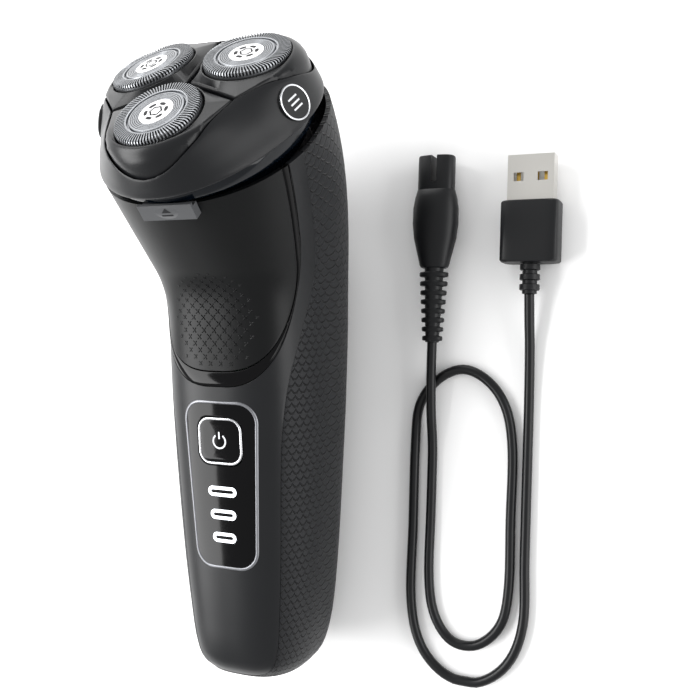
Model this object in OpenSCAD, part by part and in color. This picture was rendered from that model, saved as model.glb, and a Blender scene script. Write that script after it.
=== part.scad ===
// Rotary electric shaver lying on its back, with its charging lead beside it.
// Millimetres. +Z is up from the surface, +Y runs from the foot of the handle to the head.
// The handle and head are drawn upright first and then laid down by lay().

/* [Handle] */
// Thickness of the moulded shells
wall = 1.8; // [1.6:0.1:2.0]
// Gap between neighbouring shells
seam = 0.2; // [0.15:0.05:0.25]
// Half width of the handle at its widest
handle_half = 21.2; // [20.8:0.1:21.6]
// Angle at which the handle rests on its back
rest_angle = 5.6; // [5.4:0.1:5.8]

/* [Head] */
// Lean of the head's axis from the handle's axis
head_lean = 41.3; // [41:0.1:42]
// Distance of each shaving unit from the head's axis
unit_ring = 15.2; // [15:0.1:15.4]
// Outward tilt of each shaving unit
unit_tilt = 5.9; // [5:0.1:6.5]
// Outer radius of each guard
guard_r = 10.5; // [10.3:0.1:10.6]
// Depth of each guard's wall
guard_h = 3.4; // [3.2:0.1:3.6]

/* [Drive] */
// Tooth module
gear_module = 0.6; // [0.6:0.1:0.6]
// Teeth on the pinion
pinion_teeth = 22; // [22:1:22]
// Teeth on each driven gear
gear_teeth = 27; // [27:1:27]
// Radius of each drive spindle
spindle_r = 1.0; // [0.9:0.05:1.0]
// Radial clearance of each running fit
running = 0.05; // [0.04:0.01:0.08]
// Radius of the motor can
motor_r = 10.8; // [10:0.1:11]
// Length of the motor can
motor_h = 24; // [22:1:25]

/* [Controls] */
// Width of the power button
button_w = 12.6; // [12:0.1:13]
// Height of the power button
button_h = 12.0; // [11.5:0.1:12.4]
// Travel of the power button
button_travel = 0.6; // [0.4:0.1:0.6]
// Height of the power button's centre above the foot
button_z = 62.9; // [62.5:0.1:63.5]

/* [Lead] */
// Diameter of the lead
cord_d = 2.6; // [2.4:0.1:2.8]
// Width of the USB plug's shell
usb_w = 12.0; // [12:0.1:12.1]
// Height of the USB plug's shell
usb_h = 4.5; // [4.4:0.1:4.5]

/* [Hidden] */
$fn = 64;

// Handle stations: height, half width, front depth, back depth
handle_rows = [
    [0, 12.8, 12.3, 9.0], [3, 15.3, 15.0, 12.8], [8, 16.8, 16.1, 16.4],
    [15, 17.8, 16.6, 18.6], [30, 19.3, 17.5, 19.4], [50, 20.5, 18.7, 20.6],
    [70, handle_half, 19.9, 23.0], [88, handle_half, 20.9, 25.8], [100, 21.0, 21.5, 27.2]
];
handle_mid = 3;        // depth of the section's centre
handle_power = 2.8;    // squareness of the handle's sections
kink_z = 100;          // where the neck starts to lean forward
neck_len = 40;         // length of the neck's height scale
neck_top = kink_z + neck_len;

// Collar at the top of the neck, in the head's frame: half width, front, back, centre, drop
collar_half = 28.8;
collar_front = 25.7;
collar_back = 30.3;
collar_mid = 2;
collar_drop = 17.8;
collar_power = 2.2;

head_y = -31.25;       // centre of the head's face
head_z = 150.2;
// Head outline: drop below the face, radius at a lobe, radius at a valley
head_rows = [
    [2, 26.6, 19.3], [4, 28.0, 21.4], [7, 28.7, 23.8],
    [10, 29.4, 25.6], [13, 29.8, 27.3], [14, 29.2, 26.9]
];
face_drop = 2;         // top of the carriers below the guards' faces
rim_drop = 13.2;       // lower edge of the head housing
carrier_r = 13.4;      // rounded end of a carrier
corner_x = 16.2;       // corner of a carrier
corner_y = 9.6;
carrier_drop = 9;      // lower edge of a carrier
carrier_gap = 0.4;     // gap round a carrier
hinge_y = 24.6;        // head hinge, in the head's frame
hinge_drop = 15.4;
hinge_r = 0.8;
badge_angle = 85;
badge_drop = 8.6;

// Control panel, upright: half widths and heights
panel_top = 72.4;
panel_low = 30.4;
panel_top_half = 9.9;
panel_low_half = 8.5;
panel_corner = 4.6;
panel_rim_w = 0.8;
light_rows = [[50.0, 4.1], [44.0, 3.7], [38.0, 3.4]];   // centre height, half length
light_half = 1.3;

// Drive train, in the head's frame
gear_ring = gear_module * (pinion_teeth + gear_teeth) / 2;
gear_drop = 23.6;      // lower face of the gears
gear_h = 2.4;
motor_drop = 28;       // top of the motor can
turns = [0, 120, 240]; // front, right and left units

// Laying the shaver on its back
lay_turn = -(90 - rest_angle);
lay_y = -79.34;
lay_z = 17.31;

// Lead, on the surface
cord_r = cord_d / 2;
plug_x = 42;           // small plug, at the rear face of its body
plug_y = 28;
usb_x = 68;            // USB plug, at the rear face of its body
usb_y = 29;
plug_mid = 4.6;        // height of both plugs' middles
relief_len = 20;       // strain relief of the small plug
usb_relief_len = 8;
tube_sides = 8;
// Route of the lead's middle, from the small plug to the USB plug
cord_route = [
    [42, 8, 4.6], [42, 2, 4.6], [42, -4, 4.4], [42, -12, 3.4], [42, -22, 1.4], [42, -38, 1.4],
    [42, -56, 1.4], [44, -66, 1.4], [49, -72, 1.4], [56, -72, 1.4], [62, -66, 1.4],
    [64, -56, 1.4], [64, -38, 1.4], [64, -20, 1.4], [62, -9, 1.4], [57, -2, 1.4],
    [50, 1, 1.4], [43, -2, 1.4], [38, -9, 1.4], [37, -20, 1.4], [37, -42, 1.4],
    [37, -62, 1.4], [40, -74, 1.4], [47, -81, 1.4], [56, -82, 1.4], [64, -76, 1.4],
    [68, -65, 1.4], [68, -48, 1.4], [68, -28, 1.4], [68, -8, 1.4], [68, 6, 2.2],
    [68, 14, 3.6], [68, 21, 4.6]
];

// ---- helpers ----
function power_of(v, e) = sign(v) * pow(abs(v), e);
function row_of(rows, h, i = 0) =
    i >= len(rows) - 2 || h < rows[i + 1][0] ? i : row_of(rows, h, i + 1);
function slope_of(rows, k, i) =
    let(a = max(i - 1, 0), b = min(i + 1, len(rows) - 1))
    (rows[b][k] - rows[a][k]) / (rows[b][0] - rows[a][0]);
function blend4(p, m, q, n, t) =
    p * (2 * t * t * t - 3 * t * t + 1) + m * (t * t * t - 2 * t * t + t)
    + q * (3 * t * t - 2 * t * t * t) + n * (t * t * t - t * t);
function along(rows, k, h) =
    let(i = row_of(rows, h), d = rows[i + 1][0] - rows[i][0], t = (h - rows[i][0]) / d)
    blend4(rows[i][k], slope_of(rows, k, i) * d, rows[i + 1][k], slope_of(rows, k, i + 1) * d, t);
function ease(t) = let(u = min(max(t, 0), 1)) u * u * (3 - 2 * u);

// A point in the head's frame, put into the upright handle's frame
head_axis = [0, -sin(head_lean), cos(head_lean)];
function in_head(x, y, drop) = [
    x,
    head_y + y * cos(head_lean) + drop * sin(head_lean),
    head_z + y * sin(head_lean) - drop * cos(head_lean)
];

// Outer surface of the handle: angle from the front, height, depth under the surface
function section(angle, half, front, back, mid, e, g) = [
    (half - g) * power_of(sin(angle), 2 / e),
    mid - (cos(angle) > 0 ? front + mid - g : back - mid - g) * power_of(cos(angle), 2 / e)
];
function handle_point(angle, z, g) =
    let(p = section(angle, along(handle_rows, 1, z), along(handle_rows, 2, z),
        along(handle_rows, 3, z), handle_mid, handle_power, g))
    [p[0], p[1], z];
function collar_point(angle, g) =
    let(p = section(angle, collar_half, collar_front, collar_back, collar_mid, collar_power, g))
    in_head(p[0], p[1], collar_drop);
function neck_point(angle, u, g) =
    let(
        low = handle_point(angle, kink_z, g),
        top = collar_point(angle, g),
        chord = top - low,
        reach = norm(chord),
        w = ease((0.55 - cos(angle)) / 1.1),
        start = chord * (1 - w) + [0, 0.08, 1] * (w * reach),
        end = chord * (1 - w) + head_axis * (w * reach)
    )
    blend4(low, start, top, end, u);
function skin(angle, h, g) =
    h <= kink_z ? handle_point(angle, max(h, 0), g) : neck_point(angle, (h - kink_z) / neck_len, g);

// Radius of the head's outline
function head_radius(angle, drop) =
    let(l = along(head_rows, 1, drop), v = along(head_rows, 2, drop))
    v + (l - v) * pow((1 + cos(3 * angle)) / 2, 0.85);

// A booleaned moulding that is kept as one mesh
module moulding() {
    resize([0, 0, 0]) children();
}
module lay() {
    translate([0, lay_y, lay_z]) rotate([lay_turn, 0, 0]) children();
}
module head_frame() {
    translate([0, head_y, head_z]) rotate([head_lean, 0, 0]) children();
}
module on_head() {
    lay() head_frame() children();
}
// The frame of one shaving unit, with its guard's face at z = 0
module unit_frame(turn) {
    on_head() rotate([0, 0, turn]) translate([0, -unit_ring, 0]) rotate([unit_tilt, 0, 0]) children();
}
module tube(r, hole, low, high) {
    translate([0, 0, low]) difference() {
        cylinder(r = r, h = high - low);
        translate([0, 0, -1]) cylinder(r = hole, h = high - low + 2);
    }
}

// A closed shell between an outer and an inner grid of points
module patch(outer, inner) {
    rows = len(outer);
    cols = len(outer[0]);
    n = rows * cols;
    function o(i, j) = i * cols + j;
    function v(i, j) = n + i * cols + j;
    points = concat([for (r = outer) for (p = r) p], [for (r = inner) for (p = r) p]);
    skins = [for (i = [0:rows - 2]) for (j = [0:cols - 2]) each [
        [o(i, j), o(i + 1, j), o(i + 1, j + 1)], [o(i, j), o(i + 1, j + 1), o(i, j + 1)],
        [v(i, j), v(i + 1, j + 1), v(i + 1, j)], [v(i, j), v(i, j + 1), v(i + 1, j + 1)]
    ]];
    ends = [for (j = [0:cols - 2]) each [
        [o(0, j), o(0, j + 1), v(0, j + 1)], [o(0, j), v(0, j + 1), v(0, j)],
        [o(rows - 1, j + 1), o(rows - 1, j), v(rows - 1, j)],
        [o(rows - 1, j + 1), v(rows - 1, j), v(rows - 1, j + 1)]
    ]];
    sides = [for (i = [0:rows - 2]) each [
        [o(i + 1, 0), o(i, 0), v(i, 0)], [o(i + 1, 0), v(i, 0), v(i + 1, 0)],
        [o(i, cols - 1), o(i + 1, cols - 1), v(i + 1, cols - 1)],
        [o(i, cols - 1), v(i + 1, cols - 1), v(i, cols - 1)]
    ]];
    polyhedron(points, concat(skins, ends, sides), convexity = 8);
}
// A solid through rings of points, closed at both ends
module loft(rings) {
    n = len(rings[0]);
    m = len(rings);
    walls = [for (i = [0:m - 2]) for (j = [0:n - 1]) each [
        [i * n + j, (i + 1) * n + j, (i + 1) * n + (j + 1) % n],
        [i * n + j, (i + 1) * n + (j + 1) % n, i * n + (j + 1) % n]
    ]];
    caps = [[for (j = [0:n - 1]) j], [for (j = [n - 1:-1:0]) (m - 1) * n + j]];
    polyhedron([for (r = rings) for (p = r) p], concat(walls, caps), convexity = 8);
}

// ---- handle ----
shell_heights = concat([0, 1.5, 3, 5, 8, 11, 15], [for (h = [22:8:94]) h], [for (h = [100:5:neck_top]) h]);
around = [for (a = [0:7.5:352.5]) a];
module skin_solid(g, low = 0, high = neck_top) {
    loft([for (h = shell_heights) if (h >= low && h <= high) [for (a = around) skin(a, h, g)]]);
}
module skin_shell(g = 0, t = wall) {
    difference() {
        skin_solid(g);
        skin_solid(g + t, 1.5);
        hollow_top(g + t);
    }
}
// Opens the shell at the collar
module hollow_top(g) {
    loft([for (d = [0, 1]) [for (a = around) collar_point(a, g) + head_axis * (d * 2 - 1)]]);
}

// Angle of the parting line between the front shell and the grip
parting_rows = [[0, 39], [30, 39], [60, 40], [72, 44], [80, 50], [90, 61], [100, 72], [110, 77], [125, 75], [142, 71]];
function parting(h) = along(parting_rows, 1, max(min(h, 142), 0));
function bib_low(s) = 0.6 + 9 * (1 - pow(1 - pow(abs(s), 3), 1 / 3));
// Lower edge and half angle of the neck's panel and of the trim round it
panel_line = [80.4, 30, 60.6];
trim_line = [76.7, 42, 65];
function line_low(line, s) = line[0] + line[1] * (1 - sqrt(max(0, 1 - s * s)));
function line_angle(line, h) = line[2] - 4 * pow(max(0, h - 110) / 30, 2);

module front_zone(gap) {
    reach = [for (j = [-10:10]) j / 10];
    levels = [for (v = [0:1 / 22:1.0001]) v];
    function at(s, v, g) =
        let(low = bib_low(s) + gap, h = low + (neck_top + 4 - low) * v)
        skin(s * (parting(h) - gap * 2.6), h, g);
    patch([for (v = levels) [for (s = reach) at(s, v, -4)]], [for (v = levels) [for (s = reach) at(s, v, 4)]]);
}
module neck_zone(line, gap) {
    reach = [for (j = [-12:12]) sin(j * 7.5)];
    levels = [for (v = [0:1 / 12:1.0001]) v];
    function at(s, v, g) =
        let(low = line_low(line, s) + gap, h = low + (neck_top + 4 - low) * v)
        skin(s * (line_angle(line, h) - gap * 2.6), h, g);
    patch([for (v = levels) [for (s = reach) at(s, v, -4)]], [for (v = levels) [for (s = reach) at(s, v, 4)]]);
}
// Outline of the control panel, drawn on the front
module panel_prism(grow, depth = 12) {
    r = panel_corner;
    translate([0, -26, 0]) rotate([-90, 0, 0]) linear_extrude(depth) mirror([0, 1]) hull() {
        for (x = [-1, 1]) {
            translate([x * (panel_top_half - r), panel_top - r]) circle(r + grow, $fn = 32);
            translate([x * (panel_low_half - r), panel_low + r]) circle(r + grow, $fn = 32);
        }
    }
}
module pill_prism(half, high, r, z, low_y, depth) {
    translate([0, low_y, z]) rotate([-90, 0, 0]) linear_extrude(depth) union() {
        square([2 * half - 2 * r, 2 * high], center = true);
        square([2 * half, 2 * high - 2 * r], center = true);
        for (x = [-1, 1], y = [-1, 1]) translate([x * (half - r), y * (high - r)]) circle(r);
    }
}
module button_prism(grow, low_y, depth) {
    pill_prism(button_w / 2 + grow, button_h / 2 + grow, 3.4 + grow, button_z, low_y, depth);
}
module socket_hole(grow) {
    translate([0, -2, -1]) linear_extrude(12) union() {
        square([4.6 + 2 * grow, 6.2 + 2 * grow], center = true);
        for (x = [-1, 1]) translate([x * 2.3, 0]) circle(3.1 + grow);
    }
}

// The grip: from one parting line round the back to the other
grip_heights = concat([0, 1.5, 3, 5, 8, 11, 15], [for (h = [22:8:94]) h], [for (h = [100:5:neck_top]) h]);
grip_start = 0.3;
function grip_grid(g) = [
    for (h = grip_heights) [
        for (j = [0:40]) let(a = parting(h) + grip_start) skin(a + (360 - 2 * a) * j / 40, h, g)
    ]
];
// The low lip under the front shell
function lip_grid(g) = [
    for (v = [0:0.25:1]) [
        for (j = [-12:12]) skin(j / 12 * (parting(0) - 0.1), (bib_low(j / 12) - 0.15) * v, g)
    ]
];
module rear_shell() {
    color([0.11, 0.11, 0.12]) lay() {
        patch(grip_grid(0), grip_grid(wall));
        patch(lip_grid(0), lip_grid(wall));
        moulding() difference() {
            skin_solid(wall + 0.3, 0, 1.5);
            socket_hole(0.25);
        }
    }
}
module front_shell() {
    color([0.10, 0.10, 0.11]) lay() moulding() difference() {
        intersection() {
            skin_shell();
            front_zone(seam / 2);
        }
        neck_zone(trim_line, -seam / 2);
        panel_prism(panel_rim_w + 0.1);
        translate([-30, -30, -1]) cube([60, 60, 2.6]);
    }
}
module neck_panel() {
    color([0.07, 0.07, 0.08]) lay() moulding() difference() {
        intersection() {
            skin_shell();
            neck_zone(panel_line, seam / 2);
        }
        release_cut();
    }
}
module trim_band() {
    color([0.02, 0.02, 0.02]) lay() moulding() difference() {
        intersection() {
            skin_shell(0.05, wall - 0.1);
            neck_zone(trim_line, seam / 2);
        }
        neck_zone(panel_line, -seam / 2);
    }
}
module front_band(g, t) {
    difference() {
        skin_solid(g, 22, 94);
        skin_solid(g + t, 15, 100);
        translate([-40, 0, 0]) cube([80, 60, 120]);
    }
}
module control_panel() {
    color([0.01, 0.01, 0.01]) lay() moulding() difference() {
        intersection() {
            front_band(0.15, 1.4);
            panel_prism(-0.05);
        }
        button_prism(0.3, -26, 12);
        for (l = light_rows) pill_prism(l[1] + 0.1, light_half + 0.1, light_half + 0.1, l[0], -26, 12);
    }
}
module panel_rim() {
    color([0.35, 0.35, 0.36]) lay() moulding() intersection() {
        front_band(-0.1, 1.7);
        difference() {
            panel_prism(panel_rim_w);
            panel_prism(0.05, 20);
        }
    }
}
module light_bars() {
    color("white") lay() for (l = light_rows) {
        front = -along(handle_rows, 2, l[0]) + 0.35;
        pill_prism(l[1], light_half, light_half, l[0], front, 2.2);
    }
}
button_front = -along(handle_rows, 2, button_z) + 0.35;
module power_button() {
    color([0.03, 0.03, 0.03]) lay() {
        difference() {
            button_prism(0, button_front, 2.2);
            button_prism(-0.8, button_front - 1, 1.3);
        }
        button_prism(-0.9, button_front + 0.1, 1);
        translate([0, button_front + 2, button_z]) rotate([-90, 0, 0]) cylinder(r = 1.6, h = 3.8);
    }
}
module button_ring() {
    color([0.7, 0.7, 0.72]) lay() difference() {
        button_prism(-0.05, button_front - 0.2, 0.15);
        button_prism(-0.75, button_front - 1, 3);
    }
}
module tact_switch() {
    color([0.2, 0.2, 0.2]) lay() {
        translate([-3, -11.9, button_z - 3]) cube([6, 1.3, 6]);
        translate([0, -12.7, button_z]) rotate([-90, 0, 0]) cylinder(r = 1.5, h = 0.9);
    }
}
module circuit_board() {
    color([0.05, 0.3, 0.12]) lay() difference() {
        translate([-11, -10.5, 20]) cube([22, 1.2, 62]);
        for (x = [-1, 1], z = [23, 79]) translate([x * 8.5, -11, z]) rotate([-90, 0, 0]) cylinder(r = 1.1, h = 3);
    }
}
battery_y = 6.5;
module battery_cell() {
    color([0.15, 0.35, 0.6]) lay() translate([0, battery_y, 0]) {
        translate([0, 0, 24]) cylinder(r = 7.1, h = 49);
        translate([0, 0, 73]) cylinder(r = 2.4, h = 0.8);
    }
}
module battery_tabs() {
    color([0.75, 0.72, 0.6]) lay() {
        translate([-2.5, -9.1, 74]) cube([5, 17, 0.3]);
        translate([-2.5, -9.1, 23.5]) cube([5, 17, 0.3]);
    }
}
module inner_frame() {
    color([0.25, 0.25, 0.26]) lay() difference() {
        union() {
            for (x = [-1, 1]) translate([x * 10.6 - 1.4, -9.2, 17]) cube([2.8, 16, 68]);
            for (z = [17, 82]) translate([-12, -9.2, z]) cube([24, 22, 3]);
            for (z = [30, 62]) translate([-11, battery_y - 9, z]) cube([22, 18, 4]);
        }
        translate([0, battery_y, 21]) cylinder(r = 7.3, h = 60);
        for (x = [-1, 1], z = [23, 79]) translate([x * 8.5, -14, z]) rotate([-90, 0, 0]) cylinder(r = 1.1, h = 12);
    }
}
module chassis_screws() {
    color([0.6, 0.6, 0.62]) lay() for (x = [-1, 1], z = [23, 79]) translate([x * 8.5, -11.9, z]) rotate([-90, 0, 0]) {
        cylinder(r = 1.9, h = 1.35);
        cylinder(r = 0.95, h = 4.5);
    }
}
module charging_socket() {
    color([0.05, 0.05, 0.05]) lay() difference() {
        translate([-7.2, -6.6, 1.7]) cube([14.4, 9.2, 10.6]);
        socket_hole(0);
        for (x = [-1, 1]) translate([x * 2.4, -2, 9]) cylinder(r = 0.75, h = 8);
    }
}
module socket_pins() {
    color([0.8, 0.78, 0.7]) lay() for (x = [-1, 1]) translate([x * 2.4, -2, 6.4]) cylinder(r = 0.75, h = 8);
}

// ---- drive ----
module motor_can() {
    color([0.6, 0.6, 0.62]) on_head() translate([0, 0, -motor_drop - motor_h]) difference() {
        union() {
            cylinder(r = motor_r, h = motor_h);
            cylinder(r = 3.1, h = motor_h + 1);
        }
        translate([0, 0, 1]) cylinder(r = motor_r - 1, h = motor_h - 2);
        translate([0, 0, -1]) cylinder(r = spindle_r + running, h = motor_h + 4);
    }
}
module motor_armature() {
    color([0.55, 0.3, 0.12]) on_head() {
        translate([0, 0, -motor_drop - motor_h + 2]) cylinder(r = motor_r - 2.2, h = motor_h - 4);
        translate([0, 0, -motor_drop - motor_h + 0.2]) cylinder(r = spindle_r, h = motor_h + 6);
    }
}
module gear_blank(teeth, bore, h, turn) {
    pitch = 360 / teeth;
    r = gear_module * teeth / 2;
    tip = r + 0.42;
    root = r - 0.62;
    linear_extrude(h) difference() {
        polygon([for (i = [0:teeth - 1]) let(a = i * pitch + turn) each [
            root * [cos(a - pitch * 0.36), sin(a - pitch * 0.36)],
            tip * [cos(a - pitch * 0.1), sin(a - pitch * 0.1)],
            tip * [cos(a + pitch * 0.1), sin(a + pitch * 0.1)],
            root * [cos(a + pitch * 0.36), sin(a + pitch * 0.36)]
        ]]);
        circle(bore);
    }
}
module drive_pinion() {
    color([0.85, 0.85, 0.8]) on_head() translate([0, 0, -gear_drop])
        gear_blank(pinion_teeth, spindle_r, gear_h, 0);
}
// Turn that puts a driven gear in mesh with the pinion
function mesh_turn(direction) =
    let(p = direction / (360 / pinion_teeth))
    direction + 180 - (360 / gear_teeth) * (0.5 - (p - floor(p)));
module driven_gear(turn) {
    direction = turn - 90;
    color([0.85, 0.85, 0.8]) on_head()
        translate([gear_ring * cos(direction), gear_ring * sin(direction), -gear_drop])
        gear_blank(gear_teeth, spindle_r, gear_h, mesh_turn(direction));
}
module spindle(turn) {
    color([0.9, 0.9, 0.9]) on_head() rotate([0, 0, turn]) translate([0, -gear_ring, 0]) {
        translate([0, 0, -26]) cylinder(r = spindle_r, h = 20);
        translate([0, 0, -7.4]) cylinder(r = 1.3, h = 3.2);
        translate([0, 0, -9.4]) cylinder(r = 1.8, h = 2.2);
    }
}
module front_gear() { driven_gear(turns[0]); }
module right_gear() { driven_gear(turns[1]); }
module left_gear() { driven_gear(turns[2]); }
module front_spindle() { spindle(turns[0]); }
module right_spindle() { spindle(turns[1]); }
module left_spindle() { spindle(turns[2]); }
module each_spindle() {
    for (t = turns) rotate([0, 0, t]) translate([0, -gear_ring, 0]) children();
}
module gear_cover() {
    color([0.3, 0.3, 0.32]) on_head() difference() {
        union() {
            translate([0, 0, -26.8]) cylinder(r = 23.2, h = 2.2);
            translate([0, 0, -26.8]) tube(23.2, 22.2, 0, 5.8);
        }
        translate([0, 0, -30]) cylinder(r = 3.2, h = 10);
        each_spindle() translate([0, 0, -30]) cylinder(r = spindle_r + running, h = 8);
        each_spindle() translate([0, 0, -24.4]) cylinder(r = 8.8, h = 6);
    }
}
chamber_r = 26.4;
module hair_chamber() {
    color([0.02, 0.02, 0.03]) on_head() difference() {
        union() {
            rotate_extrude() polygon([
                [0, -20.4], [23.2, -20.4], [23.2, -17.0], [chamber_r - 0.6, -17.0],
                [chamber_r, -16.2], [chamber_r, -rim_drop - 0.4], [chamber_r - 1.4, -rim_drop - 0.4],
                [chamber_r - 1.4, -15.6], [21.8, -15.8], [21.8, -18.8], [0, -18.8]
            ]);
            each_spindle() translate([0, 0, -19]) cylinder(r = 3.4, h = 7);
        }
        each_spindle() translate([0, 0, -22]) cylinder(r = spindle_r + running, h = 14);
        each_spindle() translate([0, 0, -13.2]) cylinder(r = 2.2, h = 2);
        translate([-8.4, hinge_y - 2.4, -17.4]) cube([16.8, 8, 6]);
        translate([-7.4, -30, -16.4]) cube([14.8, 5.4, 5]);
    }
}
module shaft_seals() {
    color([0.05, 0.05, 0.05]) on_head() each_spindle() tube(2.15, spindle_r + running, -13.1, -12.1);
}
// Button that lets the head open
release_front = -27.4;
release_half = 7.2;
module release_cut() {
    head_frame() translate([-release_half - 0.25, -34, -20.9]) cube([2 * release_half + 0.5, 10.3, 10]);
}
module release_button() {
    color([0.14, 0.14, 0.15]) on_head() {
        translate([-release_half, release_front, -20.6]) cube([2 * release_half, 2.4, 3.2]);
        translate([-release_half, release_front, -17.4]) cube([2 * release_half, 0.7, 0.9]);
        translate([0, release_front + 2.4, -19]) rotate([-90, 0, 0]) cylinder(r = 0.8, h = 0.5);
    }
}
module release_spring() {
    color([0.6, 0.6, 0.6]) on_head() translate([0, release_front + 2.4, -19]) rotate([-90, 0, 0])
        tube(1.5, 1.0, 0.05, 1.85);
}
module hinge_pin() {
    color([0.6, 0.6, 0.6]) on_head() translate([-9.4, hinge_y, -hinge_drop]) rotate([0, 90, 0])
        cylinder(r = hinge_r, h = 18.8);
}

// ---- head ----
head_angles = [for (a = [0:5:355]) a];
module head_form(g = 0, low = 14, high = 2) {
    loft([for (d = [low, 13, 10, 7, 4, high]) if (d <= low && d >= high) [
        for (a = head_angles) let(r = head_radius(a, d) - g) [r * sin(a), -r * cos(a), -d]
    ]]);
}
module carrier_outline(grow) {
    r = carrier_r + grow;
    cx = corner_x + grow;
    cy = corner_y;
    reach = norm([cx, 15 - cy]);
    a = atan2(15 - cy, cx) - acos(r / reach);
    translate([0, -15]) circle(r);
    polygon([
        [0, -0.4 + grow], [cx, -cy + grow * 0.4], [r * cos(a), -15 + r * sin(a)], [0, -15],
        [-r * cos(a), -15 + r * sin(a)], [-cx, -cy + grow * 0.4]
    ]);
}
// The third of the face that belongs to one carrier
module carrier_third() {
    polygon([[0, -0.5], [34.6, -20.5], [34.6, -60], [-34.6, -60], [-34.6, -20.5]]);
}
module badge_form(r, h) {
    for (x = [-1, 1]) rotate([0, 0, x * badge_angle])
        translate([0, 0.5 - head_radius(badge_angle, badge_drop), -badge_drop])
        rotate([0, 0, -x * 11]) rotate([67, 0, 0]) cylinder(r = r, h = h);
}
module head_housing() {
    color([0.12, 0.12, 0.13]) on_head() {
        moulding() difference() {
            head_form();
            for (t = turns) rotate([0, 0, t]) translate([0, 0, -carrier_drop - 1.8])
                linear_extrude(13) carrier_outline(carrier_gap);
            translate([0, 0, -20]) cylinder(r = 26.2, h = 20 - carrier_drop - 2.8, $fn = 72);
            translate([0, 0, -13]) cylinder(r = 15, h = 4);
            for (t = turns) rotate([0, 0, t]) translate([0, -unit_ring, -13]) cylinder(r = 8.4, h = 4);
            badge_form(4.25, 4);
            translate([0, 0, -20]) cylinder(r = 40, h = 20 - rim_drop);
        }
        for (x = [-1, 1]) difference() {
            translate([x * 6.4 - 1.5, hinge_y - 1.8, -hinge_drop - 1.6]) cube([3, 3.2, 6.4]);
            translate([x * 6.4 - 3, hinge_y, -hinge_drop]) rotate([0, 90, 0]) cylinder(r = hinge_r + running, h = 6);
        }
    }
}
module side_badges() {
    color([0.2, 0.2, 0.2]) on_head() badge_form(4.2, 0.9);
}
module carrier(turn) {
    color([0.10, 0.10, 0.11]) on_head() moulding() difference() {
        intersection() {
            rotate([0, 0, turn]) translate([0, 0, -carrier_drop]) linear_extrude(carrier_drop - face_drop)
                intersection() {
                    carrier_outline(0);
                    carrier_third();
                }
            head_form(0.05);
        }
        rotate([0, 0, turn]) translate([0, -unit_ring, 0]) rotate([unit_tilt, 0, 0]) {
            translate([0, 0, -guard_h - 1.2]) cylinder(r = guard_r + 0.3, h = 8, $fn = 48);
            translate([0, 0, -12]) cylinder(r = guard_r - 0.8, h = 12, $fn = 48);
        }
    }
}
module guard(turn) {
    color([0.75, 0.75, 0.77]) unit_frame(turn) rotate_extrude() polygon([
        [guard_r, -guard_h], [guard_r, -0.4], [guard_r - 0.4, 0], [7.2, 0], [7.0, -0.5], [6.6, -0.5],
        [6.4, -0.2], [4.4, -0.2], [4.4, -0.7], [7.6, -0.9], [8.0, -0.5], [guard_r - 0.6, -0.5],
        [guard_r - 0.5, -guard_h]
    ]);
}
module cap(turn) {
    color([0.9, 0.9, 0.9]) unit_frame(turn) difference() {
        union() {
            translate([0, 0, -0.9]) cylinder(r = 4.25, h = 0.95);
            translate([0, 0, -1.3]) cylinder(r = 1.2, h = 0.5);
        }
        for (i = [0:4]) rotate([0, 0, i * 72]) translate([2.7, 0, -0.3]) cylinder(r = 0.5, h = 1);
    }
}
module cutter(turn) {
    color([0.7, 0.7, 0.72]) unit_frame(turn) difference() {
        union() {
            translate([0, 0, -2.3]) cylinder(r = 9.2, h = 0.6);
            translate([0, 0, -4.9]) cylinder(r = 3.0, h = 2.9);
            for (i = [0:14]) rotate([0, 0, i * 24]) translate([8.0, -0.3, -1.9]) cube([1.4, 0.6, 1.25]);
        }
        translate([0, 0, -6]) cylinder(r = 2.0, h = 3.2);
        for (i = [0:4]) rotate([0, 0, i * 72]) translate([5.6, 0, -3]) cylinder(r = 1.1, h = 2);
    }
}
module retainer(turn) {
    color([0.8, 0.8, 0.8]) unit_frame(turn) tube(guard_r - 0.7, 7.8, -4.1, -2.7);
}
module front_carrier() { carrier(turns[0]); }
module right_carrier() { carrier(turns[1]); }
module left_carrier() { carrier(turns[2]); }
module front_guard() { guard(turns[0]); }
module right_guard() { guard(turns[1]); }
module left_guard() { guard(turns[2]); }
module front_cap() { cap(turns[0]); }
module right_cap() { cap(turns[1]); }
module left_cap() { cap(turns[2]); }
module front_cutter() { cutter(turns[0]); }
module right_cutter() { cutter(turns[1]); }
module left_cutter() { cutter(turns[2]); }
module front_retainer() { retainer(turns[0]); }
module right_retainer() { retainer(turns[1]); }
module left_retainer() { retainer(turns[2]); }

// ---- lead ----
function spline_point(a, b, c, d, t) =
    blend4(b, (c - a) / 2, c, (d - b) / 2, t);
function route_points(p, steps) = [
    for (i = [0:len(p) - 2]) for (k = [0:steps - 1])
        spline_point(p[max(i - 1, 0)], p[i], p[i + 1], p[min(i + 2, len(p) - 1)], k / steps),
    p[len(p) - 1]
];
function unit(v) = v / norm(v);
module lead_cord() {
    p = route_points(cord_route, 2);
    n = len(p);
    rings = [for (i = [0:n - 1])
        let(d = unit(p[min(i + 1, n - 1)] - p[max(i - 1, 0)]), side = unit(cross(d, [0, 0, 1])), up = cross(side, d))
        [for (k = [0:tube_sides - 1]) let(a = 22.5 + k * 45)
            p[i] + cord_r * (sin(a) * side + cos(a) * up)]];
    color([0.06, 0.06, 0.06]) loft(rings);
}
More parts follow.
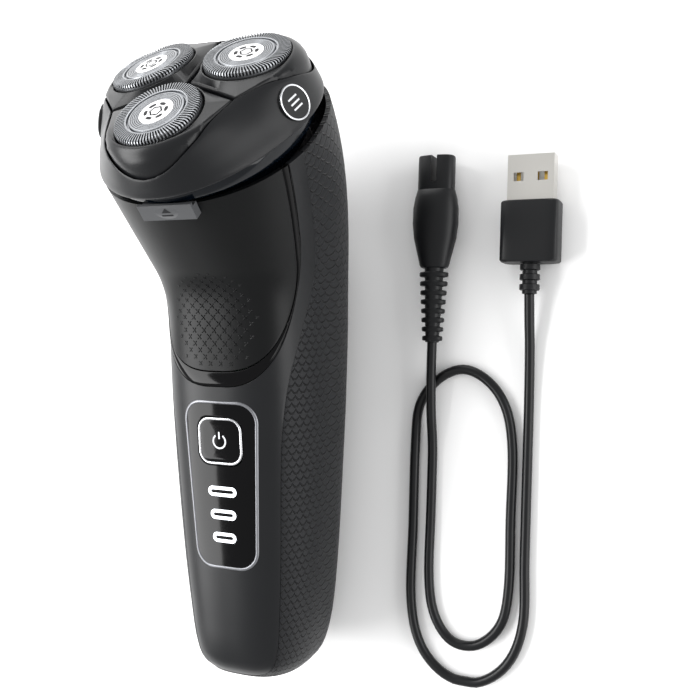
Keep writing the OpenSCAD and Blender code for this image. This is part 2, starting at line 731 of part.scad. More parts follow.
// Small two-pole plug, its nose towards +Y
module lead_plug() {
    color([0.08, 0.08, 0.08]) translate([plug_x, plug_y, plug_mid]) rotate([-90, 0, 0]) {
        difference() {
            union() {
                translate([0, 0, 21]) linear_extrude(9.2) union() {
                    square([4.2, 5.8], center = true);
                    for (x = [-1, 1]) translate([x * 2.1, 0]) circle(2.9);
                }
                hull() {
                    translate([0, 0, 0]) linear_extrude(0.5) scale([1, 0.74]) circle(3.9, $fn = 32);
                    translate([0, 0, 12]) linear_extrude(4) scale([1, 0.72]) circle(6.3, $fn = 32);
                    translate([0, 0, 20.5]) linear_extrude(0.6) scale([1, 0.62]) circle(5.2, $fn = 32);
                }
            }
            translate([-0.8, -4, 23]) cube([1.6, 8, 9]);
            for (x = [-1, 1]) translate([x * 2.4, 0, 22]) cylinder(r = 0.95, h = 9);
        }
    }
}
module plug_contacts() {
    color([0.8, 0.7, 0.4]) translate([plug_x, plug_y, plug_mid]) rotate([-90, 0, 0])
        for (x = [-1, 1]) translate([x * 2.4, 0, 0]) tube(0.93, 0.78, 22.05, 29.6);
}
module plug_relief() {
    color([0.08, 0.08, 0.08]) translate([plug_x, plug_y, plug_mid]) rotate([90, 0, 0]) {
        translate([0, 0, 0]) cylinder(r1 = 2.6, r2 = 1.9, h = relief_len);
        for (i = [0:7]) translate([0, 0, 1.3 + i * 2.45]) scale([1, 0.66, 1]) cylinder(r = 4.0 - i * 0.17, h = 1.2);
    }
}
module usb_overmould() {
    color([0.07, 0.07, 0.07]) translate([usb_x, usb_y, plug_mid]) rotate([-90, 0, 0]) difference() {
        linear_extrude(16) union() {
            square([15 - 4, 8.0], center = true);
            square([15, 8.0 - 4], center = true);
            for (x = [-1, 1], y = [-1, 1]) translate([x * 5.5, y * 2]) circle(2);
        }
        translate([-usb_w / 2, -usb_h / 2, 10]) cube([usb_w, usb_h, 8]);
    }
}
module usb_shell() {
    color([0.8, 0.8, 0.82]) translate([usb_x, usb_y, plug_mid]) rotate([-90, 0, 0]) difference() {
        translate([-usb_w / 2, -usb_h / 2, 10]) cube([usb_w, usb_h, 17.8]);
        translate([-usb_w / 2 + 0.3, -usb_h / 2 + 0.3, 10.5]) cube([usb_w - 0.6, usb_h - 0.6, 20]);
        for (x = [-1, 1]) translate([x * 3.1 - 1.3, -4, 21]) cube([2.6, 8, 2.2]);
    }
}
module usb_tongue() {
    color([0.9, 0.9, 0.9]) translate([usb_x, usb_y, plug_mid]) rotate([-90, 0, 0])
        translate([-5.6, 0.1, 10.6]) cube([11.2, 1.7, 16.6]);
}
module usb_contacts() {
    color([0.85, 0.7, 0.35]) translate([usb_x, usb_y, plug_mid]) rotate([-90, 0, 0])
        for (i = [-1.5:1:1.5]) translate([i * 2.4 - 0.5, -0.1, 16]) cube([1, 0.2, 10]);
}
module usb_relief() {
    color([0.07, 0.07, 0.07]) translate([usb_x, usb_y, plug_mid]) rotate([90, 0, 0]) {
        cylinder(r = 1.9, h = usb_relief_len);
        for (z = [0, 2.6, 5.2]) translate([0, 0, z + 0.2]) cylinder(r = 2.6, h = 1.7);
    }
}

// Draws one node or all of them
rear_shell();
front_shell();
neck_panel();
trim_band();
control_panel();
panel_rim();
light_bars();
power_button();
button_ring();
tact_switch();
circuit_board();
battery_cell();
battery_tabs();
motor_can();
motor_armature();
drive_pinion();
inner_frame();
charging_socket();
socket_pins();
chassis_screws();
gear_cover();
hair_chamber();
shaft_seals();
release_button();
release_spring();
hinge_pin();
front_gear();
right_gear();
left_gear();
front_spindle();
right_spindle();
left_spindle();
head_housing();
side_badges();
front_carrier();
right_carrier();
left_carrier();
front_guard();
right_guard();
left_guard();
front_cap();
right_cap();
left_cap();
front_cutter();
right_cutter();
left_cutter();
front_retainer();
right_retainer();
left_retainer();
lead_plug();
plug_contacts();
plug_relief();
lead_cord();
usb_overmould();
usb_shell();
usb_tongue();
usb_contacts();
usb_relief();
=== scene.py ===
import json
import math
import bpy
from mathutils import Matrix, Vector


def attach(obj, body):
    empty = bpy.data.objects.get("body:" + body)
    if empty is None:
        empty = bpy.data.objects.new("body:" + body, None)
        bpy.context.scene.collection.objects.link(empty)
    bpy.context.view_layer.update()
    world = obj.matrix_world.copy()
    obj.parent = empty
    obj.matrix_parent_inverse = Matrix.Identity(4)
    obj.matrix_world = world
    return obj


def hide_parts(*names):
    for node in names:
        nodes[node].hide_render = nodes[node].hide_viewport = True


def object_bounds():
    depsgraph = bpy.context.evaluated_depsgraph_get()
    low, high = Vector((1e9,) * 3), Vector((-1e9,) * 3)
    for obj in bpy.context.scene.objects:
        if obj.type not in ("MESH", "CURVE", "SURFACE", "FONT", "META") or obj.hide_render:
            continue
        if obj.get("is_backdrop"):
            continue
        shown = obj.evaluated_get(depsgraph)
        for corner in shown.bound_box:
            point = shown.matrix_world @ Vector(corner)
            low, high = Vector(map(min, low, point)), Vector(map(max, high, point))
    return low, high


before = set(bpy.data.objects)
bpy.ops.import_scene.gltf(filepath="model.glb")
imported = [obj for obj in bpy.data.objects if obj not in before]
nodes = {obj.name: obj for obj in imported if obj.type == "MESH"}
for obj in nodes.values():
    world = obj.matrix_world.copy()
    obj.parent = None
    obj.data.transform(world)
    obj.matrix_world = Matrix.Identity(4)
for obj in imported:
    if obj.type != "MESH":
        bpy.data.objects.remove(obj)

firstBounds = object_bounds()
mm = 0.001

# the forms that several pieces share, millimetres and degrees
lay = {"turn": 5.6, "y": -79.34, "z": 17.31}  # how the shaver lies on its back
headForm = {
    "lean": 41.3, "y": -31.25, "z": 150.2,  # the head's axis
    # drop below the face, half width at a unit, half width between two units
    "rows": [
        (2, 26.6, 19.3), (4, 28.0, 21.4), (7, 28.7, 23.8), (10, 29.4, 25.6), (13, 29.8, 27.3),
        (14, 29.2, 26.9)]}
unit = {"ring": 15.2, "tilt": 5.9, "names": ["front", "right", "left"]}  # where the shaving units stand
handleForm = {
    # height, half width, front depth, back depth
    "rows": [
        (0, 12.8, 12.3, 9.0), (3, 15.3, 15.0, 12.8), (8, 16.8, 16.1, 16.4), (15, 17.8, 16.6, 18.6),
        (30, 19.3, 17.5, 19.4), (50, 20.5, 18.7, 20.6), (70, 21.2, 19.9, 23.0),
        (88, 21.2, 20.9, 25.8), (100, 21.0, 21.5, 27.2)],
    # height, angle from the front where the front shell meets the grip
    "parting": [
        (0, 39), (30, 39), (60, 40), (72, 44), (80, 50), (90, 61), (100, 72), (110, 77), (125, 75),
        (142, 71)],
    "middle": 3, "power": 2.8, "neck": 100, "top": 140, "blend": 9}
collar = {"half": 28.8, "front": 25.7, "back": 30.3, "middle": 2, "power": 2.2, "drop": 17.8}


def sinD(a):
    return math.sin(math.radians(a))


def cosD(a):
    return math.cos(math.radians(a))


def layDown(x, y, z):  # from the shaver standing on its foot to the shaver lying down, metres
    s, c = cosD(lay["turn"]), sinD(lay["turn"])
    return Vector((x, lay["y"] + y * c + z * s, lay["z"] - y * s + z * c)) * mm


def headPoint(x, y, z):  # z runs up the head's axis
    c, s = cosD(headForm["lean"]), sinD(headForm["lean"])
    return layDown(x, headForm["y"] + y * c - z * s, headForm["z"] + y * s + z * c)


def turned(turn, x, y, z):  # the same, turned about the head's axis
    return headPoint(x * cosD(turn) - y * sinD(turn), x * sinD(turn) + y * cosD(turn), z)


def unitPoint(turn, x, y, z):  # in a shaving unit's own frame
    c, s = cosD(unit["tilt"]), sinD(unit["tilt"])
    return turned(turn, x, y * c - z * s - unit["ring"], y * s + z * c)


def hermite(p, m, q, n, t):
    a = 2 * t ** 3 - 3 * t * t
    return p * (a + 1) + m * (t ** 3 - 2 * t * t + t) - q * a + n * (t ** 3 - t * t)


def along(rows, k, h):  # column k of a table at height h, as a smooth curve
    i = 0
    while i < len(rows) - 2 and h >= rows[i + 1][0]:
        i += 1

    def slope(j):
        a, b = max(j - 1, 0), min(j + 1, len(rows) - 1)
        return (rows[b][k] - rows[a][k]) / (rows[b][0] - rows[a][0])

    d = rows[i + 1][0] - rows[i][0]
    t = (h - rows[i][0]) / d
    return hermite(rows[i][k], slope(i) * d, rows[i + 1][k], slope(i + 1) * d, t)


def powerOf(v, e):
    return math.copysign(abs(v) ** e, v)


def section(a, half, front, back, mid, e, g):  # a rounded section at angle a from the front, g deep
    depth = front + mid if cosD(a) > 0 else back - mid
    return (half - g) * powerOf(sinD(a), 2 / e), mid - (depth - g) * powerOf(cosD(a), 2 / e)


def handlePoint(a, z, g):
    half, front, back = [along(handleForm["rows"], k, z) for k in (1, 2, 3)]
    x, y = section(a, half, front, back, handleForm["middle"], handleForm["power"], g)
    return Vector((x, y, z))


def collarPoint(a, g):
    x, y = section(a, collar["half"], collar["front"], collar["back"], collar["middle"], collar["power"], g)
    c, s = cosD(headForm["lean"]), sinD(headForm["lean"])
    return Vector((x, headForm["y"] + y * c + collar["drop"] * s, headForm["z"] + y * s - collar["drop"] * c))


def plainSkin(a, h, g):
    neck = handleForm["neck"]
    if h <= neck:
        return handlePoint(a, max(h, 0), g)
    low, top = handlePoint(a, neck, g), collarPoint(a, g)
    chord = top - low
    w = min(max((0.55 - cosD(a)) / 1.1, 0), 1)
    w = w * w * (3 - 2 * w)
    start = chord * (1 - w) + Vector((0, 0.08, 1)) * (w * chord.length)
    end = chord * (1 - w) + Vector((0, -sinD(headForm["lean"]), cosD(headForm["lean"]))) * (w * chord.length)
    return hermite(low, start, top, end, (h - neck) / (handleForm["top"] - neck))


def skin(a, h, g):  # the handle's outer form, its bend at the neck rounded
    neck, b = handleForm["neck"], handleForm["blend"]
    if abs(h - neck) >= b:
        return plainSkin(a, h, g)
    t = (h - neck + b) / (2 * b)
    low, mid, top = plainSkin(a, neck - b, g), plainSkin(a, neck, g), plainSkin(a, neck + b, g)
    return low * (1 - t) ** 2 + mid * 2 * t * (1 - t) + top * t * t


def parting(h):
    return along(handleForm["parting"], 1, max(min(h, 142), 0))


def headRadius(a, d):  # the head's outline at drop d
    l, v = along(headForm["rows"], 1, d), along(headForm["rows"], 2, d)
    return v + (l - v) * ((1 + cosD(3 * a)) / 2) ** 0.85


class Shape:  # gathers strips of points into one mesh

    def __init__(self):
        self.points, self.faces, self.uvs = [], [], []

    def grid(self, rows, closed=False, flip=False, uvs=None):
        start, cols = len(self.points), len(rows[0])
        for i, row in enumerate(rows):
            self.points.extend(row)
            self.uvs.extend(uvs[i] if uvs else [(0, 0)] * len(row))
        for i in range(len(rows) - 1):
            for j in range(cols if closed else cols - 1):
                k, here = (j + 1) % cols, start + i * cols
                f = (here + j, here + k, here + cols + k, here + cols + j)
                self.faces.append(f[::-1] if flip else f)

    def fan(self, ring, centre, flip=False):
        start, n = len(self.points), len(ring)
        self.points.extend(list(ring) + [centre])
        self.uvs.extend([(0, 0)] * (n + 1))
        for j in range(n):
            f = (start + j, start + (j + 1) % n, start + n)
            self.faces.append(f[::-1] if flip else f)

    def done(self, name, material, body, replaced, slotName, sharp=40):
        mesh = bpy.data.meshes.new(name)
        mesh.from_pydata([tuple(p) for p in self.points], [], self.faces)
        mesh.validate()
        layer = mesh.uv_layers.new(name="mm")
        for loop in mesh.loops:
            layer.data[loop.index].uv = self.uvs[loop.vertex_index]
        mesh.shade_smooth()
        mesh.set_sharp_from_angle(angle=math.radians(sharp))
        mesh.materials.append(material)
        thing = bpy.data.objects.new(name, mesh)
        bpy.context.scene.collection.objects.link(thing)
        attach(thing, body)
        if replaced:
            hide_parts(*replaced)
        return thing


def skinPatch(shape, angles, flip=False, lifts=None, edges=(True, True, True, True)):
    # angles: rows of (angle, height); border rows turn inwards as a moulded edge does
    steps = [(0.10, 0.03), (0.20, 0.16), (0.22, 1.2)]
    top, right, bottom, left = edges
    rows = [[(a, h, -lifts[j] if lifts else 0.0) for j, (a, h) in enumerate(row)] for row in angles]

    def outward(p, q, step):
        a, h, g = p
        b, k, _ = q
        da, dh = (a - b) * 0.35, h - k
        size = math.hypot(da, dh) or 1
        return a + da / size * step[0] / 0.35, h + dh / size * step[0], g + step[1]

    if left:
        rows = [[outward(r[0], r[1], s) for s in reversed(steps)] + r for r in rows]
    if right:
        rows = [r + [outward(r[-1], r[-2], s) for s in steps] for r in rows]
    if bottom:
        rows = [[outward(p, q, s) for p, q in zip(rows[0], rows[1])] for s in reversed(steps)] + rows
    if top:
        rows = rows + [[outward(p, q, s) for p, q in zip(rows[-1], rows[-2])] for s in steps]
    points = [[layDown(*skin(a, min(h, handleForm["top"]), g)) for a, h, g in row] for row in rows]
    uvs = [[(math.radians(a) * 21, h) for a, h, g in row] for row in rows]
    shape.grid(points, flip=flip, uvs=uvs)


def revolve(shape, profile, place, count=96, flip=False):
    around = [360 * j / count for j in range(count)]
    rows = [[place(r * cosD(a), r * sinD(a), z) for a in around] for r, z in profile]
    shape.grid(rows, closed=True, flip=flip)


def paint(thing, material):
    thing.data.materials.clear()
    thing.data.materials.append(material)


def linear(code):  # an sRGB hex colour to linear values
    out = []
    for k in (1, 3, 5):
        v = int(code[k:k + 2], 16) / 255
        out.append(v / 12.92 if v <= 0.04045 else ((v + 0.055) / 1.055) ** 2.4)
    return (*out, 1.0)


def node(tree, kind, settings=None, links=None):  # links take a socket, a node's first output or a number
    made = tree.nodes.new(kind)
    for key, value in (settings or {}).items():
        if isinstance(key, int) or key in made.inputs:
            made.inputs[key].default_value = value
        else:
            setattr(made, key, value)
    for key, source in (links or {}).items():
        if isinstance(source, (int, float)):
            made.inputs[key].default_value = source
        else:
            tree.links.new(getattr(source, "outputs", [source])[0], made.inputs[key])
    return made


def surface(name, colour, rough, metal=0.0, gleam=0.5):
    material = bpy.data.materials.new(name)
    material.use_nodes = True
    tree = material.node_tree
    shader = tree.nodes["Principled BSDF"]
    shader.inputs["Base Color"].default_value = linear(colour)
    shader.inputs["Roughness"].default_value = rough
    shader.inputs["Metallic"].default_value = metal
    shader.inputs["Specular IOR Level"].default_value = gleam
    return material, tree, shader


# fine grain, size and depth in millimetres: true grain is near 0.05 mm, drawn coarser so that it shows;
# the roughness wanders by spread over about 11 mm
def grained(name, colour, rough, metal=0.0, size=0.12, depth=0.004, spread=0.06, gleam=0.5):
    material, tree, shader = surface(name, colour, rough, metal, gleam)
    place = node(tree, "ShaderNodeTexCoord").outputs["Object"]
    fine = node(tree, "ShaderNodeTexNoise", {"Scale": 1000 / size, "Detail": 3.0}, {"Vector": place})
    wide = node(tree, "ShaderNodeTexNoise", {"Scale": 90.0, "Detail": 4.0}, {"Vector": place})
    limits = {"To Min": rough - spread, "To Max": rough + spread}
    level = node(tree, "ShaderNodeMapRange", limits, {"Value": wide})
    tree.links.new(level.outputs["Result"], shader.inputs["Roughness"])
    bump = node(tree, "ShaderNodeBump", {"Strength": 0.5, "Distance": depth * mm}, {"Height": fine})
    tree.links.new(bump.outputs["Normal"], shader.inputs["Normal"])
    return material, tree, shader, bump


gripScale = {"wide": 2.6, "high": 1.7, "bow": 0.62, "rise": 0.25}


# soft elastomer moulded over the handle: rows of low overlapping scales, matt, with painted shade darkening
# the joints between them
def gripMaterial():
    material, tree, shader, bump = grained(
        "moulded_elastomer_scales", "#151617", 0.5, size=0.2, depth=0.003, gleam=0.2)
    uv = node(tree, "ShaderNodeUVMap", {"uv_map": "mm"})
    split = node(tree, "ShaderNodeSeparateXYZ", None, {"Vector": uv})
    made = {"u": split.outputs["X"], "v": split.outputs["Y"]}
    for key, operation, a, b in (
            ("up", "DIVIDE", "v", gripScale["high"]), ("row", "FLOOR", "up", 0),
            ("rowSize", "ABSOLUTE", "row", 0), ("odd", "MODULO", "rowSize", 2.0),
            ("shift", "MULTIPLY", "odd", 0.5),
            ("across", "DIVIDE", "u", gripScale["wide"]), ("moved", "ADD", "across", "shift"),
            ("part", "FRACT", "moved", 0), ("off", "SUBTRACT", "part", 0.5), ("x", "MULTIPLY", "off", 2.0),
            ("xx", "MULTIPLY", "x", "x"), ("arc", "MULTIPLY", "xx", gripScale["bow"]),
            ("level", "FRACT", "up", 0), ("above", "SUBTRACT", "level", 0.12),
            ("miss", "SUBTRACT", "above", "arc"), ("gap", "ABSOLUTE", "miss", 0),
            ("half", "MULTIPLY", "level", 0.5), ("slope", "SUBTRACT", 1.15, "half")):
        values = {0: made.get(a, a), 1: made.get(b, b)}
        made[key] = node(tree, "ShaderNodeMath", {"operation": operation}, values)
    line = node(
        tree, "ShaderNodeMapRange", {"From Min": 0.04, "From Max": 0.20, "To Min": 0.0, "To Max": 1.0},
        {"Value": made["gap"]})
    rise = node(tree, "ShaderNodeMath", {"operation": "MULTIPLY"}, {0: line, 1: made["slope"]})
    scale = node(
        tree, "ShaderNodeBump", {"Strength": 0.85, "Distance": gripScale["rise"] * mm},
        {"Height": rise, "Normal": bump})
    tree.links.new(scale.outputs["Normal"], shader.inputs["Normal"])
    # painted shade: the base colour goes darker in the joints between scales
    jointShade = node(
        tree, "ShaderNodeMix", {"data_type": "RGBA", 6: linear("#070708"), 7: linear("#1c1d1f")}, {0: line})
    tree.links.new(jointShade.outputs[2], shader.inputs["Base Color"])
    return material


grip = gripMaterial()
# ABS, moulded in a lightly etched tool: near black, faint soft lights
neckBlack = grained("etched_abs_neck", "#08090a", 0.38, size=0.2, depth=0.003, gleam=0.18)[0]
# ABS with a metallic fleck, moulded satin: dark grey with broad soft lights
graphite = grained("satin_abs_graphite", "#141517", 0.36, size=0.25, depth=0.003, gleam=0.24)[0]
# ABS, moulded a little smoother: the carriers' planes catch clearer lights
carrierSatin = grained("smooth_abs_carrier", "#111214", 0.32, size=0.25, depth=0.003, gleam=0.26)[0]
# acrylic, moulded in a polished tool: black with sharp reflections and slight waves
glossBlack = grained(
    "polished_acrylic_black", "#020203", 0.07, size=3.0, depth=0.001, spread=0.02, gleam=0.16)[0]
# tinted polycarbonate, polished: black with a blue cast in its reflections
bowlBlack = grained(
    "polished_polycarbonate_bowl", "#04080e", 0.10, size=3.0, depth=0.001, spread=0.03, gleam=0.3)[0]
# metallic lacquer sprayed on ABS: grey, half mirror, fine fleck
rimGrey = grained("metallic_lacquer_grey", "#77787c", 0.30, metal=0.6, size=0.15, depth=0.003)[0]
# chrome plated on ABS: bright thin ring
ringSilver = grained("chrome_plated_ring", "#c9cacd", 0.22, metal=0.9, size=0.2, depth=0.002)[0]
# stainless steel, stamped and ground: grey mirror softened by the grinding
steel = grained("ground_stainless_steel", "#87898c", 0.34, metal=1.0, size=0.18, depth=0.003)[0]
# stainless steel, polished: nearly white
polished = grained("polished_stainless_cap", "#eeeeef", 0.3, metal=0.8, size=0.4, depth=0.001)[0]
# painted shade: the same steel, coloured dark where it lies down in a slot
slotShade = grained("painted_shade_stainless_slot", "#1b1c1e", 0.5, metal=0.4, size=0.2, depth=0.003)[0]
# etched steel: flat dark marks
inkDark = grained("etched_steel_mark", "#161719", 0.5, size=0.15, depth=0.002, gleam=0.2)[0]
# ABS, moulded satin in a lighter grey
keyGrey = grained("satin_abs_key", "#4a4b4d", 0.30, size=0.25, depth=0.003, gleam=0.4)[0]
# ABS, moulded satin: the ground of the side discs
badgeDark = grained("satin_abs_disc", "#151617", 0.35, size=0.3, depth=0.002, gleam=0.26)[0]
# soft PVC, moulded round the plugs: black with a broad dull light
softBlack = grained("moulded_pvc_plug", "#0f1012", 0.42, size=0.25, depth=0.004, gleam=0.26)[0]
# soft PVC, extruded: a thin bright line along the lead
cordSheath = grained("extruded_pvc_sheath", "#0c0d0f", 0.34, size=0.3, depth=0.004, gleam=0.28)[0]
# steel sheet, stamped and nickel plated: warm grey, soft mirror
shellMetal = grained("nickel_plated_steel", "#cfcdc8", 0.30, metal=0.9, size=0.2, depth=0.003)[0]
# nylon with glass, moulded: matt white
tongueWhite = grained("moulded_nylon_tongue", "#e6e6e3", 0.45)[0]
# brass, gold plated
gilt = grained("gold_plated_contact", "#d8b25a", 0.3, metal=1.0)[0]
# the inside: moulded, drawn, printed and sleeved parts that show when the head is open
innerSteel = grained("drawn_steel", "#a9abad", 0.32, metal=1.0)[0]
innerPlastic = grained("moulded_abs_inside", "#55565a", 0.5)[0]
boardGreen = grained("printed_board_mask", "#1f5a35", 0.35)[0]
cellBlue = grained("shrunk_cell_sleeve", "#2b4d80", 0.35)[0]
windingCopper = grained("enamelled_copper", "#a9602f", 0.35, metal=0.9)[0]
nylon = grained("moulded_acetal", "#d9d8d1", 0.5)[0]
rubber = grained("moulded_rubber", "#1a1a1b", 0.7)[0]
# milky polycarbonate lit from behind: even white glow
glow, tree, shader = surface("lit_milky_polycarbonate", "#eef2f6", 0.4)
shader.inputs["Emission Color"].default_value = linear("#f3f7ff")
shader.inputs["Emission Strength"].default_value = 1.6
# ink, pad printed: flat white signs
signWhite = grained("pad_printed_ink", "#d8dadd", 0.5, size=0.15, depth=0.002, gleam=0.2)[0]
print("materials made")

# the grip wraps round the back, under the front shell's lower edge and into the charging socket
gripShell = {
    "seam": 0.35, "chinSeam": 0.25, "low": 0.6, "rise": 9, "socket": (5.4, 3.1), "socketY": -2, "deep": 6.0}


def bibLow(s):  # the front shell's lower edge, s from -1 to 1 across it
    return gripShell["low"] + gripShell["rise"] * (1 - (1 - abs(s) ** 3) ** (1 / 3))


def socketEdge(a, z=0.0):
    half, high = gripShell["socket"]
    x, y = section(a, half, high, high, 0, handleForm["power"], 0)
    return Vector((x, y + gripShell["socketY"], z))


shape = Shape()
full = []
for h in [0, 0.4, 1, 2, 3.5, 5, 7, 9, 12, 15] + [18 + 3 * k for k in range(41)] + [140]:
    start = parting(h) + gripShell["seam"]
    full.append([(start + (360 - 2 * start) * j / 96, h) for j in range(97)])
skinPatch(shape, full, flip=True, edges=(True, True, False, True))
chin = []
for k in range(5):
    row = []
    for j in range(41):
        s = j / 20 - 1
        row.append((parting(0) * s, (bibLow(s) - gripShell["chinSeam"]) * k / 4))
    chin.append(row)
skinPatch(shape, chin, flip=True, edges=(True, False, False, False))
around = [360 * j / 96 for j in range(96)]
foot = []
for t in (0, 0.5, 1.0):
    foot.append([layDown(*skin(a, 0, 0).lerp(socketEdge(a), t)) for a in around])
foot.append([layDown(*socketEdge(a, gripShell["deep"])) for a in around])
shape.grid(foot, closed=True)
shape.done("grip_shell", grip, "handle", ["rear_shell"], "satin_black", 30)

# U shaped lines on the front: lowest height, height of the bend, angle beside it
panelLine = (80.4, 30.0, 60.6)
trimLine = (76.7, 42.0, 65.0)
panel = {"top": 72.4, "low": 30.4, "corner": 4.6, "topHalf": 9.9, "lowHalf": 8.5}
frontShell = {"seam": 0.3, "top": 76.6, "bend": 42, "under": 0.3}


def lineAngle(line, h):
    return line[2] - 4 * (max(0, h - 110) / 30) ** 2


def uLine(line, t):  # a point of a U line, t from -2 (left top) through 0 (lowest) to 2 (right top)
    side = 1 if t >= 0 else -1
    t = abs(t)
    if t <= 1:
        return side * line[2] * sinD(90 * t), line[0] + line[1] * (1 - cosD(90 * t))
    start = line[0] + line[1]
    h = start + (handleForm["top"] - start) * (t - 1)
    return side * lineAngle(line, h), h


def panelHalf(h, grow=0.0):  # half the control panel's width at a height
    r = panel["corner"] + grow
    wide, narrow = panel["topHalf"] - panel["corner"], panel["lowHalf"] - panel["corner"]
    top, low = panel["top"] - panel["corner"], panel["low"] + panel["corner"]
    if h > top:
        return wide + math.sqrt(max(r * r - (h - top) ** 2, 0))
    if h < low:
        return narrow + math.sqrt(max(r * r - (low - h) ** 2, 0))
    return wide + (narrow - wide) * (top - h) / (top - low) + r


def underPanel(point):  # a shell point that the control panel hides
    y, z = point.y / mm - lay["y"], point.z / mm - lay["z"]
    x, h = point.x / mm, y * cosD(lay["turn"]) + z * sinD(lay["turn"])
    beside = panel["low"] + 0.5 < h < panel["top"] - 0.5
    return z > 0 and beside and abs(x) < panelHalf(h, -frontShell["under"])


shape = Shape()
lower = []
for k in range(37):
    row = []
    for j in range(-24, 25):
        low = bibLow(j / 24) + 0.1
        h = low + (frontShell["top"] - low) * k / 36
        row.append((j / 24 * (parting(h) - frontShell["seam"]), h))
    lower.append(row)
skinPatch(shape, lower, flip=True, edges=(False, True, True, True))
turnsUp = [(76.5 + frontShell["bend"] * (1 - cosD(3.75 * k)), sinD(3.75 * k)) for k in range(25)]
turnsUp += [(118.5 + 2.15 * k, 1) for k in range(1, 11)]
for side in (-1, 1):
    arm = []
    for h, s in turnsUp:
        inside = lineAngle(trimLine, h) * s + (0.5 if h > 77 else 0)
        reach = parting(h) - frontShell["seam"] - inside
        arm.append([(side * (inside + reach * j / 24), h) for j in range(25)])
    skinPatch(shape, arm, flip=side > 0, edges=(True, True, False, True))
shape.faces = [f for f in shape.faces if not all(underPanel(shape.points[k]) for k in f)]
shape.done("front_shell_skin", graphite, "handle", ["front_shell"], "graphite", 30)

trim = {"across": (0.03, 0.15, 0.3, 0.5, 0.7, 0.85, 0.94), "crown": (0.0, 0.12, 0.2, 0.24, 0.2, 0.1, 0.0)}
shape = Shape()
band = []
for k in range(-80, 81):
    (a, h), (b, q) = uLine(trimLine, k / 40), uLine(panelLine, k / 40)
    band.append([(a + (b - a) * w, h + (q - h) * w) for w in trim["across"]])
skinPatch(shape, band, lifts=[0.9 * v - 0.05 for v in trim["crown"]], edges=(False, True, False, True))
shape.done("trim_band_skin", glossBlack, "handle", ["trim_band"], "gloss_black", 60)

neckPanel = {"seam": 0.5, "sunk": 0.02}
shape = Shape()
rows = []
for k in range(1, 73):
    t = 2 * k / 72
    a, h = uLine(panelLine, t)
    a -= neckPanel["seam"]
    rows.append([(a * j / 30, h + (0.25 if t < 1 else 0)) for j in range(-30, 31)])
skinPatch(shape, rows, flip=True, lifts=[-neckPanel["sunk"]] * 61)
shape.done("neck_panel_skin", neckBlack, "handle", ["neck_panel"], "neck_black", 60)

# raised crosses that fade towards the field's edge
crosses = {"apart": 2.9, "row": 1.65, "middle": 94, "fadeX": 12, "fadeH": 15.5, "low": 0.05, "rise": 0.13}


def frontAngle(x):
    return math.degrees(math.asin(powerOf(x / 21.2, 1.4)))


def ridge(shape, u, v, du, dv, size, rise):
    rows = []
    for t, r in ((-1, 0), (-0.72, 1), (0, 1), (0.72, 1), (1, 0)):
        row = []
        for w, top in ((-0.2, 0), (-0.06, 1), (0.06, 1), (0.2, 0)):
            x, h = u + du * size * t - dv * w, v + dv * size * t + du * w
            row.append(layDown(*skin(frontAngle(x), h, 0.04 - (0.04 + rise) * r * top)))
        rows.append(row)
    shape.grid(rows, flip=True)


shape = Shape()
for i in range(-9, 10):
    for j in range(-5, 6):
        u, v = crosses["apart"] * (j + (i % 2) / 2), crosses["middle"] + crosses["row"] * i
        fade = 1 - (u / crosses["fadeX"]) ** 2 - ((v - crosses["middle"]) / crosses["fadeH"]) ** 2
        edge = panelLine[0] + panelLine[1] * (1 - math.sqrt(1 - (frontAngle(u) / panelLine[2]) ** 2))
        if fade > 0.03 and v > edge + 1.8:
            rise = crosses["low"] + crosses["rise"] * fade
            for side in (-1, 1):
                ridge(shape, u, v, side * 0.66, 0.75, 0.35 + 0.65 * fade ** 0.5, rise)
shape.done("neck_crosses", neckBlack, "handle", [], "neck_black", 20)
print("handle made")

# the control panel has a well for the power key
powerKey = {"height": 62.9, "straight": (3.1, 2.8), "corner": 3.45, "well": 1.5, "gap": 0.06}
# how far the rim grows from the panel's edge, and its depth below the skin
panelRim = [(-0.12, 0.6), (-0.1, 0.05), (0.05, -0.14), (0.3, -0.22), (0.55, -0.16), (0.74, 0.0), (0.8, 0.8)]


def frontY(x, h, g):
    mid, e = handleForm["middle"], handleForm["power"]
    half, depth = along(handleForm["rows"], 1, h) - g, along(handleForm["rows"], 2, h) + mid - g
    return mid - depth * (1 - (abs(x) / half) ** e) ** (1 / e)


def panelRing(grow, g):  # closed outline of the panel on the skin at depth g
    r, low, top = panel["corner"] + grow, panel["low"] + panel["corner"], panel["top"] - panel["corner"]
    heights = [low - r * cosD(9 * k) for k in range(11)]
    heights += [low + (top - low) * k / 40 for k in range(1, 40)]
    heights += [top + r * sinD(9 * k) for k in range(11)]
    right = [(panelHalf(h, grow), h) for h in heights]
    return [layDown(x, frontY(x, h, g), h) for x, h in right + [(-x, h) for x, h in reversed(right)]]


def insidePanel(x, h):
    return panel["low"] + 0.1 < h < panel["top"] - 0.1 and abs(x) < panelHalf(h, -0.1)


def insideKey(x, h):
    wide, high = powerKey["straight"]
    return math.hypot(max(abs(x) - wide, 0), max(abs(h - powerKey["height"]) - high, 0)) < powerKey["corner"]


def furthest(inside, low, high, steps):  # the largest distance that is still inside
    for _ in range(steps):
        mid = (low + high) / 2
        if inside(mid):
            low = mid
        else:
            high = mid
    return low


def fromKey(t, r):  # a point of the panel at angle t and distance r from the key's middle
    return r * sinD(t), powerKey["height"] + r * cosD(t)


